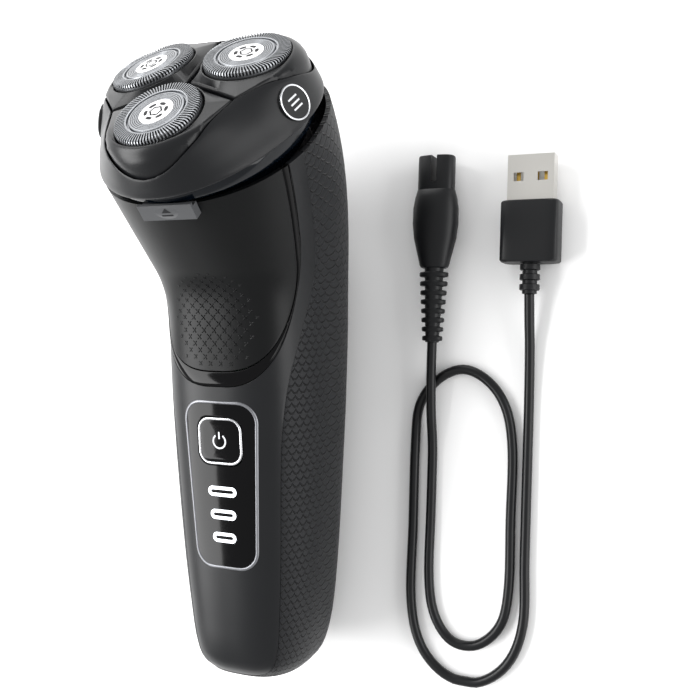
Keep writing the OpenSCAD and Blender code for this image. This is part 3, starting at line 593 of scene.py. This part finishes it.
shape = Shape()
rays = []
for k in range(240):
    t = 1.5 * k
    near, far = [furthest(lambda r: test(*fromKey(t, r)), 0.0, 45.0, 26) for test in (insideKey, insidePanel)]
    rays.append((t, near, far))
rows = []
for w, g in [(0, powerKey["well"]), (0, 0.05)] + [(k / 14, -0.05) for k in range(15)]:
    row = []
    for t, near, far in rays:
        gap = powerKey["gap"]
        x, h = fromKey(t, near + gap * (g < 0) + (far - near - gap) * w)
        row.append(layDown(x, frontY(x, h, g), h))
    rows.append(row)
shape.grid(rows, closed=True)
shape.done("control_panel_skin", glossBlack, "handle", ["control_panel"], "gloss_black", 60)
shape = Shape()
shape.grid([panelRing(grow, g) for grow, g in panelRim], closed=True, flip=True)
shape.done("panel_rim_skin", rimGrey, "handle", ["panel_rim"], "rim_grey", 60)


def pillRing(h, half, high, r, g):  # rounded rectangle on the front skin
    out = []
    for qx, qz, start in ((1, 1, 0), (-1, 1, 90), (-1, -1, 180), (1, -1, 270)):
        for k in range(11):
            a = start + 9 * k
            x, z = qx * (half - r) + r * cosD(a), h + qz * (high - r) + r * sinD(a)
            out.append(layDown(x, frontY(x, z, g), z))
    return out


def middleOf(ring):
    return sum(ring, Vector()) / len(ring)


# height and half width of each bar; then inset and depth of each ring, and of the dark core
lightBars = {"rows": [(50.0, 4.1), (44.0, 3.7), (38.0, 3.4)], "high": 1.3, "core": (0.88, -0.09),
             "rings": [(0, 0.0), (0.02, -0.09), (0.2, -0.15), (0.8, -0.13), (0.92, 0.0)]}
shape, cores = Shape(), Shape()
for h, half in lightBars["rows"]:
    made = []
    for inset, g in lightBars["rings"] + [lightBars["core"]]:
        high = lightBars["high"] - inset
        made.append(pillRing(h, half - inset, high, high - 0.01, g))
    shape.grid(made[:-1], closed=True)
    cores.fan(made[-1], middleOf(made[-1]))
shape.done("light_bar_rings", glow, "handle", ["light_bars"], "light_pipe", 60)
cores.done("light_bar_cores", glossBlack, "handle", [], "gloss_black", 60)

# half width, corner and depth of each ring
keyLook = {
    "squash": 0.3,
    "ring": [(6.3, 3.4, 1.3), (6.28, 3.38, 0.0), (6.2, 3.3, -0.14), (5.98, 3.08, -0.19), (5.76, 2.86, -0.14),
             (5.66, 2.76, 0.0)],
    "face": [(5.72, 2.82, 0.0), (5.5, 2.6, -0.08), (4.4, 2.2, -0.1), (3.0, 1.9, -0.08), (1.6, 1.2, -0.07),
             (0.6, 0.28, -0.07)],
    "sign": {"radius": 1.75, "width": 0.42, "depth": -0.13}}


def keyRings(rows):
    squash = keyLook["squash"]
    return [pillRing(powerKey["height"], w, w - squash, min(r, w - squash - 0.01), g) for w, r, g in rows]


shape = Shape()
shape.grid(keyRings(keyLook["ring"]), closed=True)
shape.done("key_ring_silver", ringSilver, "power_key", ["button_ring"], "ring_silver", 60)
shape = Shape()
rings = keyRings(keyLook["face"])
shape.grid(rings, closed=True)
shape.fan(rings[-1], middleOf(rings[-1]))
shape.done("power_key_face", glossBlack, "power_key", ["power_button"], "button_black", 60)


def signStroke(shape, path):  # a flat printed stroke on the front skin
    width, g = keyLook["sign"]["width"], keyLook["sign"]["depth"]
    left, right = [], []
    for k, (x, z) in enumerate(path):
        a, b = path[max(k - 1, 0)], path[min(k + 1, len(path) - 1)]
        dx, dz = b[0] - a[0], b[1] - a[1]
        size = math.hypot(dx, dz)
        nx, nz = -dz / size * width / 2, dx / size * width / 2
        left.append(layDown(x + nx, frontY(x + nx, z + nz, g), z + nz))
        right.append(layDown(x - nx, frontY(x - nx, z - nz, g), z - nz))
    shape.grid([left, right])


shape = Shape()
signStroke(shape, [fromKey(a, keyLook["sign"]["radius"]) for a in range(35, 326, 10)])
signStroke(shape, [fromKey(0, r) for r in (0.6, 1.4, 2.4)])
shape.done("power_sign", signWhite, "power_key", [], "button_black", 60)
print("controls made")

# a carrier from above: a round end, two corners and a tip, cut where one third of the head meets the next
carrier = {"round": 13.4, "corner": (16.2, 9.6), "tip": -0.4, "back": 15, "third": 20.0 / 34.6, "start": -0.5,
           "drops": [(9, 0), (7, 0), (5, 0), (3.6, 0), (2.8, 0.02), (2.35, 0.14), (2.08, 0.4), (2.0, 0.75)],
           "lip": [(11.25, -1.55), (11.05, -1.5), (10.84, -1.75), (10.8, -3.6)]}


def crossing(ax, ay, bx, by, dx, dy):  # how far a ray from (0, -15) goes before the line from a to b
    ex, ey, py = bx - ax, by - ay, ay + carrier["back"]
    det = ex * dy - dx * ey
    if abs(det) < 1e-9 or not 0 <= (dx * py - dy * ax) / det <= 1:
        return 0
    return (ex * py - ax * ey) / det


def outlineReach(a, grow, cut):  # from (0, -15) to the carrier's outline, at angle a from the front
    r, cx, cy = carrier["round"] + grow, carrier["corner"][0] + grow, carrier["corner"][1]
    dx, dy = sinD(a), -cosD(a)
    best = r
    for side in (1, -1):
        bx, by = side * cx, -cy + grow * 0.4
        best = max(best, crossing(0.0, carrier["tip"] + grow, bx, by, dx, dy))
        rise = carrier["back"] - cy
        turn = math.degrees(math.atan2(rise, cx)) - math.degrees(math.acos(r / math.hypot(cx, rise)))
        best = max(best, crossing(bx, by, side * r * cosD(turn), r * sinD(turn) - carrier["back"], dx, dy))
        den = dy + side * carrier["third"] * dx
        if cut and den > 1e-9:
            best = min(best, (carrier["start"] + carrier["back"]) / den)
    return best


def insideHead(a, t, d, g):  # whether the point t from (0, -15) at angle a lies in the head at drop d
    x, y = t * sinD(a), -carrier["back"] - t * cosD(a)
    return math.hypot(x, y) < headRadius(math.degrees(math.atan2(x, -y)), d) - g


# radius, height, whether the row is slotted; the slots lean as they run outwards
guard = {
    "slots": 84, "per": 8, "slant": 3.0,
    "profile": [
        (7.2, -0.6, 0), (7.25, -0.06, 0), (7.4, 0.0, 0), (7.6, 0.0, 0), (7.7, 0.0, 1), (9.0, 0.0, 1),
        (9.9, -0.03, 1), (10.25, -0.16, 1), (10.44, -0.42, 1), (10.5, -0.75, 1), (10.5, -0.95, 1),
        (10.5, -1.05, 0), (10.5, -3.0, 0), (10.42, -3.2, 0), (10.3, -3.35, 0)]}
innerRing = {
    "edge": [(7.2, -0.6), (6.95, -0.62), (6.8, -0.35), (6.7, -0.1)], "grooves": 5, "first": 6.5, "step": 0.45}
cap = {
    "profile": [(4.24, -0.3), (4.2, -0.05), (4.05, 0.03), (3.2, 0.05), (0.02, 0.05)],
    "arcs": 2.55, "star": 1.38, "marks": 0.09}


def ringMarks(place, line):  # a flat mark on the cap: rows of (radius, half width, angle)
    return [[place(r * cosD(a), r * sinD(a), cap["marks"]) for r, a in row] for row in (
        [(mid - half, a) for mid, half, a in line], [(mid + half, a) for mid, half, a in line])]


def paintSlotShade(ring, isShaded):  # slot floors take the steel coloured with painted shade
    ring.data.materials.append(slotShade)
    for face in ring.data.polygons:
        if isShaded(face.index):
            face.material_index = 1


for index, name in enumerate(unit["names"]):
    turn = 120 * index
    place = lambda x, y, z, t=turn: unitPoint(t, x, y, z)
    around = [360 * j / 240 for j in range(240)]
    base = [outlineReach(a, 0, True) for a in around]
    shape = Shape()
    rings = []
    for d, inset in carrier["drops"]:
        row = []
        for a, b in zip(around, base):
            reach = furthest(lambda t: insideHead(a, t, max(d, 2.0), 0.05), 0.0, 45.0, 26)
            t = min(b, reach) - inset
            row.append(turned(turn, t * sinD(a), -carrier["back"] - t * cosD(a), -d))
        rings.append(row)
    for r, z in carrier["lip"]:
        rings.append([place(r * sinD(a), -r * cosD(a), z) for a in around])
    shape.grid(rings, closed=True)
    shape.done(name + "_carrier_shell", carrierSatin, name + "_pod", [name + "_carrier"], "graphite", 34)

    shape = Shape()
    per, count = guard["per"], guard["slots"] * guard["per"]
    rows = []
    for r, z, slotted in guard["profile"]:
        row = []
        for j in range(count):
            a = 360 * j / count + guard["slant"] * (r - 8) / 2.5
            deep = slotted and j % per >= per / 2
            rr = r - (0.35 if deep and z < -0.1 else 0)
            zz = z - ((0.45 if z > -0.5 else 0.1) if deep else 0)
            row.append(place(rr * cosD(a), rr * sinD(a), zz))
        rows.append(row)
    shape.grid(rows, closed=True)
    ring = shape.done(name + "_guard_ring", steel, name + "_pod", [name + "_guard"], "guard_steel", 28)
    slotted = [row[2] for row in guard["profile"]]
    # painted shade on the floors of the guard's slots
    paintSlotShade(ring, lambda f: slotted[f // count] and slotted[f // count + 1] and f % per >= per / 2)

    shape = Shape()
    profile = list(innerRing["edge"])
    for k in range(innerRing["grooves"]):
        r = innerRing["first"] - k * innerRing["step"]
        profile += [(r, -0.02), (r - 0.26, -0.02), (r - 0.28, -0.09), (r - 0.43, -0.09)]
    profile += [(4.3, -0.02), (4.24, -0.1)]
    revolve(shape, profile, place, 120, flip=True)
    ring = shape.done(name + "_inner_ring", steel, name + "_pod", [], "guard_steel", 30)
    # painted shade on the floors of the inner ring's grooves
    floors = [k for k in range(4, len(profile) - 1) if profile[k][1] < -0.05 and profile[k + 1][1] < -0.05]
    paintSlotShade(ring, lambda f: f // 120 in floors)

    shape = Shape()
    revolve(shape, cap["profile"], place, flip=True)
    shape.done(name + "_cap_disc", polished, name + "_pod", [name + "_cap"], "cap_steel", 30)
    shape = Shape()
    for k in range(6):
        line = [(cap["arcs"], 0.34 + 0.12 * sinD(22.5 * q), 60 * k - 7 + 4.75 * q) for q in range(9)]
        shape.grid(ringMarks(place, line), flip=True)
    line = [(cap["star"] + 0.10 * cosD(36 * q), 0.22, 6 * q) for q in range(61)]
    shape.grid(ringMarks(place, line), flip=True)
    shape.done(name + "_cap_marks", inkDark, name + "_pod", [], "cap_steel", 30)
    # painted shade: the steel cutter seen through the slots takes the dark steel
    paint(nodes[name + "_cutter"], slotShade)
print("shaving units made")

housing = {"pocketGap": 0.4, "floor": 10.9, "under": 11.9, "bottom": 13.2, "bore": 15.0, "window": 8.4}
lugs = {"x": 6.4, "half": 1.5, "y": 24.6, "z": -15.4, "radius": 1.5, "top": -11.0}


def third(a):  # the same place on the front third of the head, -60 to 60
    return ((a + 60) % 120) - 60


def insidePocket(b, t):
    x, y = t * sinD(b), carrier["back"] - t * cosD(b)
    return math.hypot(x, y) < outlineReach(math.degrees(math.atan2(x, -y)), housing["pocketGap"], False)


def openingReach(a):
    b = third(a)
    inside = housing["window"] ** 2 - (unit["ring"] * sinD(b)) ** 2
    if inside <= 0:
        return housing["bore"]
    return max(housing["bore"], unit["ring"] * cosD(b) + math.sqrt(inside))


def housingProfile(a):  # radius and drop, from the pocket over the edge, down outside and back underneath
    p = furthest(lambda t: insidePocket(third(a), t), 10.0, 32.0, 24)
    d = 2.0
    while d < 12 and headRadius(a, d) < p + 0.25:
        d += 0.1
    rows = [(p, housing["floor"]), (p, d + 0.5), (p + 0.02, d + 0.14), (p + 0.14, d + 0.02),
            (max(headRadius(a, d) - 0.12, p + 0.15), d), (headRadius(a, d + 0.12), d + 0.14)]
    for k in range(1, 15):
        drop = d + 0.14 + (12.7 - d) * k / 14
        rows.append((headRadius(a, drop), drop))
    edge, opening = headRadius(a, 13.0), openingReach(a)
    return rows + [
        (edge - 0.1, 13.08), (edge - 0.35, housing["bottom"]), (26.2, housing["bottom"]),
        (25.9, housing["under"]), (opening, housing["under"]), (opening, housing["floor"]),
        (p, housing["floor"])]


shape = Shape()
columns = []
for a in range(360):
    columns.append([headPoint(r * sinD(a), -r * cosD(a), -drop) for r, drop in housingProfile(a)])
shape.grid(list(zip(*columns)), closed=True)
y, z, r = lugs["y"], lugs["z"], lugs["radius"]
lug = [(y + 1.4, lugs["top"])] + [(y + r * cosD(a), z + r * sinD(a)) for a in range(0, -181, -15)]
lug.append((y - 1.6, lugs["top"]))
for x in (-lugs["x"], lugs["x"]):
    near, far = [[headPoint(x + w, *p) for p in lug] for w in (-lugs["half"], lugs["half"])]
    shape.grid([near, far], closed=True, flip=True)
    shape.fan(near, headPoint(x - lugs["half"], y, -13.5))
    shape.fan(far, headPoint(x + lugs["half"], y, -13.5), flip=True)
shape.done("head_housing_skin", graphite, "head", ["head_housing"], "graphite", 34)

sideDisc = {
    "around": 85, "drop": 8.6, "out": 0.5, "roll": 11, "tip": 67,
    "disc": [(4.2, 0.0), (4.2, 0.6), (4.05, 0.78), (3.7, 0.72), (0.05, 0.72)],
    "ring": [(4.1, 0.6), (4.05, 0.84), (3.9, 0.89), (3.7, 0.84), (3.65, 0.6)],
    "bars": (-1.2, 0.0, 1.2), "barHalf": (1.5, 0.2), "barLift": 0.75}


def discPoint(side, x, y, z):  # a disc's own frame: z outwards from the housing's wall
    at = (0, sideDisc["out"] - headRadius(sideDisc["around"], sideDisc["drop"]), -sideDisc["drop"])
    m = Matrix.Rotation(math.radians(side * sideDisc["around"]), 4, "Z") @ Matrix.Translation(at)
    m = m @ Matrix.Rotation(math.radians(-side * sideDisc["roll"]), 4, "Z")
    m = m @ Matrix.Rotation(math.radians(sideDisc["tip"]), 4, "X")
    return headPoint(*(m @ Vector((x, y, z))))


disc, silver = Shape(), Shape()
for side in (-1, 1):
    place = lambda x, y, z, s=side: discPoint(s, x, y, z)
    revolve(disc, sideDisc["disc"], place, 72, flip=True)
    revolve(silver, sideDisc["ring"], place, 72, flip=True)
    half, thick = sideDisc["barHalf"]
    for y in sideDisc["bars"]:
        silver.grid([[place(x, y + w, sideDisc["barLift"]) for x in (-half, half)] for w in (-thick, thick)])
disc.done("badge_discs", badgeDark, "head", ["side_badges"], "badge", 30)
silver.done("badge_rings", ringSilver, "head", [], "badge", 30)

# the bowl's wall is open at the back, where the hinge stands
bowl = {
    "from": 109.2, "sweep": 321.6,
    "profile": [
        (25.0, -13.62), (25.3, -13.54), (26.1, -13.54), (26.4, -13.7), (26.48, -14.2), (26.48, -16.2),
        (26.3, -16.7), (25.85, -17.06), (23.27, -17.06), (23.27, -20.4)]}
shape = Shape()
openArc = [bowl["from"] + bowl["sweep"] * j / 180 for j in range(181)]
shape.grid([[headPoint(r * cosD(a), r * sinD(a), z) for a in openArc] for r, z in bowl["profile"]])
shape.done("bowl_wall", bowlBlack, "handle", [], "bowl_black", 40)
paint(nodes["hair_chamber"], bowlBlack)

# z, y and half width of each row of the release key
releaseKey = {"rows": [(-20.6, -25.2, 7.2), (-20.6, -26.9, 7.2), (-20.5, -27.2, 7.0), (-20.2, -27.4, 6.8),
                       (-18.5, -27.43, 6.8), (-16.9, -27.4, 6.8), (-16.6, -27.2, 7.0), (-16.5, -26.9, 7.2),
                       (-16.5, -26.75, 7.2)],
              "bow": 0.25, "signY": -27.46}
shape = Shape()
rows = []
for z, y, half in releaseKey["rows"]:
    across = [j / 8 - 1 for j in range(17)]
    rows.append([headPoint(half * w, y + releaseKey["bow"] * abs(w) ** 3, z) for w in across])
shape.grid(rows)
shape.done("release_key_face", keyGrey, "release_key", [], "release_grey", 40)
paint(nodes["release_button"], keyGrey)
shape = Shape()
arrow = [headPoint(x, releaseKey["signY"], z) for x, z in ((-1.3, -18.6), (1.3, -18.6), (0, -17.3))]
shape.fan(arrow, middleOf(arrow))
shape.grid([[headPoint(x, releaseKey["signY"], z) for x in (-1.5, 1.5)] for z in (-19.5, -19.1)])
shape.done("release_sign", inkDark, "release_key", [], "release_grey", 40)
print("head made")

lead = {
    "thick": 2.6, "sides": 20, "steps": 6, "lowest": 1.35, "nearest": -82.15,
    "route": [
        (42, 8, 4.6), (42, 2, 4.6), (42, -4, 4.4), (42, -12, 3.4), (42, -22, 1.4), (42, -38, 1.4),
        (42, -56, 1.4), (44, -66, 1.4), (49, -72, 1.4), (56, -72, 1.4), (62, -66, 1.4),
        (64, -56, 1.4), (64, -38, 1.4), (64, -20, 1.4), (62, -9, 1.4), (57, -2, 1.4),
        (50, 1, 1.4), (43, -2, 1.4), (38, -9, 1.4), (37, -20, 1.4), (37, -42, 1.4),
        (37, -62, 1.4), (40, -74, 1.4), (47, -81, 1.4), (56, -82, 1.4), (64, -76, 1.4),
        (68, -65, 1.4), (68, -48, 1.4), (68, -28, 1.4), (68, -8, 1.4), (68, 6, 2.2),
        (68, 14, 3.6), (68, 21, 4.6)]}


def smoothRoute(points):
    out = []
    last = len(points) - 1
    p = [Vector(q) for q in points]
    for i in range(last):
        a, b, c, d = p[max(i - 1, 0)], p[i], p[i + 1], p[min(i + 2, last)]
        for k in range(lead["steps"]):
            out.append(hermite(b, (c - a) / 2, c, (d - b) / 2, k / lead["steps"]))
    return [Vector((q.x, max(q.y, lead["nearest"]), max(q.z, lead["lowest"]))) for q in out + [p[last]]]


line = smoothRoute(lead["route"])
shape = Shape()
rows = []
for i, p in enumerate(line):
    d = (line[min(i + 1, len(line) - 1)] - line[max(i - 1, 0)]).normalized()
    side = d.cross(Vector((0, 0, 1))).normalized()
    up = side.cross(d)
    turns = [360 * j / lead["sides"] for j in range(lead["sides"])]
    rows.append([(p + lead["thick"] / 2 * (cosD(a) * side + sinD(a) * up)) * mm for a in turns])
shape.grid(rows, closed=True)
cordTube = shape.done("lead_cord_tube", cordSheath, "handle", ["lead_cord"], "cord_black", 60)

plugZ = 4.6  # both plugs lie at this height
# distance along the plug, half width, half height, squareness
plug = {
    "x": 42, "y": 28, "end": 30.2, "slot": ((-0.8, 0.8), (23, 32), (-4, 4)),
    "rows": [
        (0.0, 3.2, 2.5, 2.2), (0.2, 3.7, 2.8, 2.2), (0.8, 4.0, 3.0, 2.2), (4, 4.8, 3.6, 2.2),
        (8, 5.8, 4.2, 2.2), (12, 6.25, 4.5, 2.2), (16, 6.2, 4.45, 2.2), (19, 5.7, 4.0, 2.3),
        (20.4, 5.3, 3.5, 2.4), (21.0, 5.15, 3.1, 2.6), (21.05, 5.0, 2.9, 2.9),
        (29.7, 4.95, 2.88, 3.0), (30.1, 4.8, 2.7, 3.0),
        (30.2, 4.4, 2.4, 3.0)]}


def alongY(x, y, half, high, e, count=48):  # a closed section of a plug across its axis
    out = []
    for k in range(count):
        a = 360 * k / count
        rise = high * powerOf(sinD(a), 2 / e)
        out.append(Vector((x + half * powerOf(cosD(a), 2 / e), y, plugZ + rise)) * mm)
    return out


def plugSections(x, y, rows, way=1, count=48):
    return [alongY(x, y + way * s, w, h, e, count) for s, w, h, e in rows]


shape = Shape()
sections = plugSections(plug["x"], plug["y"], plug["rows"])
shape.grid(sections, closed=True, flip=True)
shape.fan(sections[-1], Vector((plug["x"], plug["y"] + plug["end"], plugZ)) * mm, flip=True)
shape.fan(sections[0], Vector((plug["x"], plug["y"], plugZ)) * mm)
plugBody = shape.done("lead_plug_body", softBlack, "handle", ["lead_plug"], "lead_black", 34)
across, deep, high = plug["slot"]
corners = [Vector((plug["x"] + x, plug["y"] + y, plugZ + z)) * mm for x in across for y in deep for z in high]
boxFaces = [(0, 1, 3, 2), (4, 6, 7, 5), (0, 4, 5, 1), (2, 3, 7, 6), (0, 2, 6, 4), (1, 5, 7, 3)]
cut = bpy.data.objects.new("slot_cutter", bpy.data.meshes.new("slot_cutter"))
bpy.context.scene.collection.objects.link(cut)
cut.data.from_pydata(corners, [], boxFaces)
boolean = plugBody.modifiers.new("slot", "BOOLEAN")
boolean.operation = "DIFFERENCE"
boolean.solver = "EXACT"
boolean.object = cut
bpy.context.view_layer.update()
made = bpy.data.meshes.new_from_object(plugBody.evaluated_get(bpy.context.evaluated_depsgraph_get()))
plugBody.modifiers.clear()
plugBody.data = made
bpy.data.objects.remove(cut)

relief = {"fins": 8, "apart": 2.45, "wide": 4.0, "narrower": 0.17}
shape = Shape()
rows = [(0.0, 2.6, 2.6, 2), (0.3, 2.6, 2.6, 2)]
for k in range(relief["fins"]):
    y = 1.0 + k * relief["apart"]
    w = relief["wide"] - k * relief["narrower"]
    core = 2.55 - 0.75 * (y / 20)
    edge, full = (w - 0.2, w * 0.66 - 0.1, 2), (w, w * 0.66, 2)
    rows += [(y, core, core, 2), (y + 0.15, *edge), (y + 0.35, *full), (y + 1.1, *full), (y + 1.35, *edge),
             (y + 1.5, core, core, 2)]
rows += [(19.9, 1.85, 1.85, 2), (20.0, 1.4, 1.4, 2)]
shape.grid(plugSections(plug["x"], plug["y"], rows, -1), closed=True)
shape.done("plug_relief_fins", softBlack, "handle", ["plug_relief"], "lead_black", 40)

usb = {
    "x": 68, "y": 29, "rings": (0.2, 2.8, 5.4),
    "rows": [
        (0, 6.6, 3.2, 5), (0.15, 7.2, 3.75, 6), (0.6, 7.5, 4.0, 7), (15.4, 7.5, 4.0, 7),
        (15.85, 7.25, 3.8, 6), (16, 6.8, 3.4, 6), (16, 5.9, 2.2, 8)]}
shape = Shape()
sections = plugSections(usb["x"], usb["y"], usb["rows"], 1, 64)
shape.grid(sections, closed=True, flip=True)
shape.fan(sections[0], Vector((usb["x"], usb["y"], plugZ)) * mm)
shape.done("usb_overmould_body", softBlack, "handle", ["usb_overmould"], "lead_black", 40)
shape = Shape()
profile = [(0, 1.9)]
for y in usb["rings"]:
    profile += [(y, 1.9), (y + 0.1, 2.5), (y + 0.2, 2.6), (y + 1.5, 2.6), (y + 1.65, 2.4), (y + 1.7, 1.9)]
profile += [(7.9, 1.9), (8.0, 1.5)]
shape.grid(plugSections(usb["x"], usb["y"], [(y, r, r, 2) for y, r in profile], -1), closed=True)
shape.done("usb_relief_body", softBlack, "handle", ["usb_relief"], "lead_black", 40)
withPieces = ["lead_plug_body", "plug_relief_fins", "usb_overmould_body", "usb_relief_body"]
withPieces += [nodes[key].name for key in ("plug_contacts", "usb_shell", "usb_tongue", "usb_contacts")]

# CAD nodes that keep their own mesh
finish = {
    "usb_shell": shellMetal, "usb_tongue": tongueWhite, "usb_contacts": gilt, "plug_contacts": gilt,
    "charging_socket": rubber, "socket_pins": ringSilver, "motor_can": innerSteel,
    "motor_armature": windingCopper, "drive_pinion": nylon, "front_gear": nylon, "right_gear": nylon,
    "left_gear": nylon,
    "front_spindle": innerSteel, "right_spindle": innerSteel, "left_spindle": innerSteel,
    "circuit_board": boardGreen, "battery_cell": cellBlue, "battery_tabs": innerSteel,
    "inner_frame": innerPlastic, "gear_cover": rubber, "chassis_screws": innerSteel,
    "tact_switch": rubber, "shaft_seals": rubber,
    "release_spring": innerSteel, "hinge_pin": softBlack, "front_retainer": innerPlastic,
    "right_retainer": innerPlastic, "left_retainer": innerPlastic}
for key, material in finish.items():
    paint(nodes[key], material)
bevel = nodes["usb_shell"].modifiers.new("soft_edges", "BEVEL")
bevel.width = 0.12 * mm
bevel.segments = 2
bevel.limit_method = "ANGLE"
bevel.angle_limit = math.radians(50)

# painted board, matt: even pale ground whose sheen wanders over about 17 mm
floorMaterial, tree, shader = surface("painted_board_floor", "#fbfbfb", 0.85)
grain = node(tree, "ShaderNodeTexNoise", {"Scale": 60.0, "Detail": 3.0})
shade = node(tree, "ShaderNodeMapRange", {"To Min": 0.82, "To Max": 0.9}, {"Value": grain})
tree.links.new(shade.outputs["Result"], shader.inputs["Roughness"])
floorMesh = bpy.data.meshes.new("floor")
floorMesh.from_pydata([(-4, -4, 0), (4, -4, 0), (4, 4, 0), (-4, 4, 0)], [], [(0, 1, 2, 3)])
floorMesh.materials.append(floorMaterial)
floor = bpy.data.objects.new("floor", floorMesh)
bpy.context.scene.collection.objects.link(floor)
floor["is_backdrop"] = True

# place, what it points at, width and height in metres, watts
lamps = {
    "softbox_left": ((-0.82, 0.05, 0.72), (0.0, 0.0, 0.03), (1.4, 0.62), 24),
    "softbox_right": ((0.9, 0.0, 0.3), (0.02, 0.0, 0.03), (1.0, 0.5), 6),
    "softbox_head": ((-0.3, 0.95, 0.3), (0.0, 0.05, 0.05), (0.9, 0.3), 4)}
for name, (at, aim, size, power) in lamps.items():
    light = bpy.data.lights.new(name, "AREA")
    light.shape = "RECTANGLE"
    light.size, light.size_y = size
    light.energy = power
    holder = bpy.data.objects.new(name, light)
    holder.location = at
    holder.rotation_euler = (Vector(aim) - Vector(at)).to_track_quat("-Z", "Y").to_euler()
    bpy.context.scene.collection.objects.link(holder)
world = bpy.data.worlds.new("studio")
bpy.context.scene.world = world
world.use_nodes = True
world.node_tree.nodes["Background"].inputs["Color"].default_value = (1, 1, 1, 1)
world.node_tree.nodes["Background"].inputs["Strength"].default_value = 0.72

view = {"lens": 47.01, "at": (0.1212547, 0.002832, 0.238736), "right": (0.9146, 0.0301, -0.4033),
        "back": (0.4037, -0.0100, 0.9148)}
camera = bpy.data.cameras.new("camera")
camera.lens = view["lens"]
camera.sensor_width = 36
cameraHolder = bpy.data.objects.new("camera", camera)
back = Vector(view["back"]).normalized()
up = back.cross(Vector(view["right"]).normalized()).normalized()
right = up.cross(back)
turnMatrix = Matrix((right, up, back)).transposed().to_4x4()
cameraHolder.matrix_world = Matrix.Translation(view["at"]) @ turnMatrix
bpy.context.scene.collection.objects.link(cameraHolder)
bpy.context.scene.camera = cameraHolder
bpy.context.scene.view_settings.view_transform = "Standard"
print("stage made")


def plain(box):
    return json.loads(json.dumps(box, default=lambda v: [float(q) for q in v]))


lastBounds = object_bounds()
{"first": plain(firstBounds), "last": plain(lastBounds)}
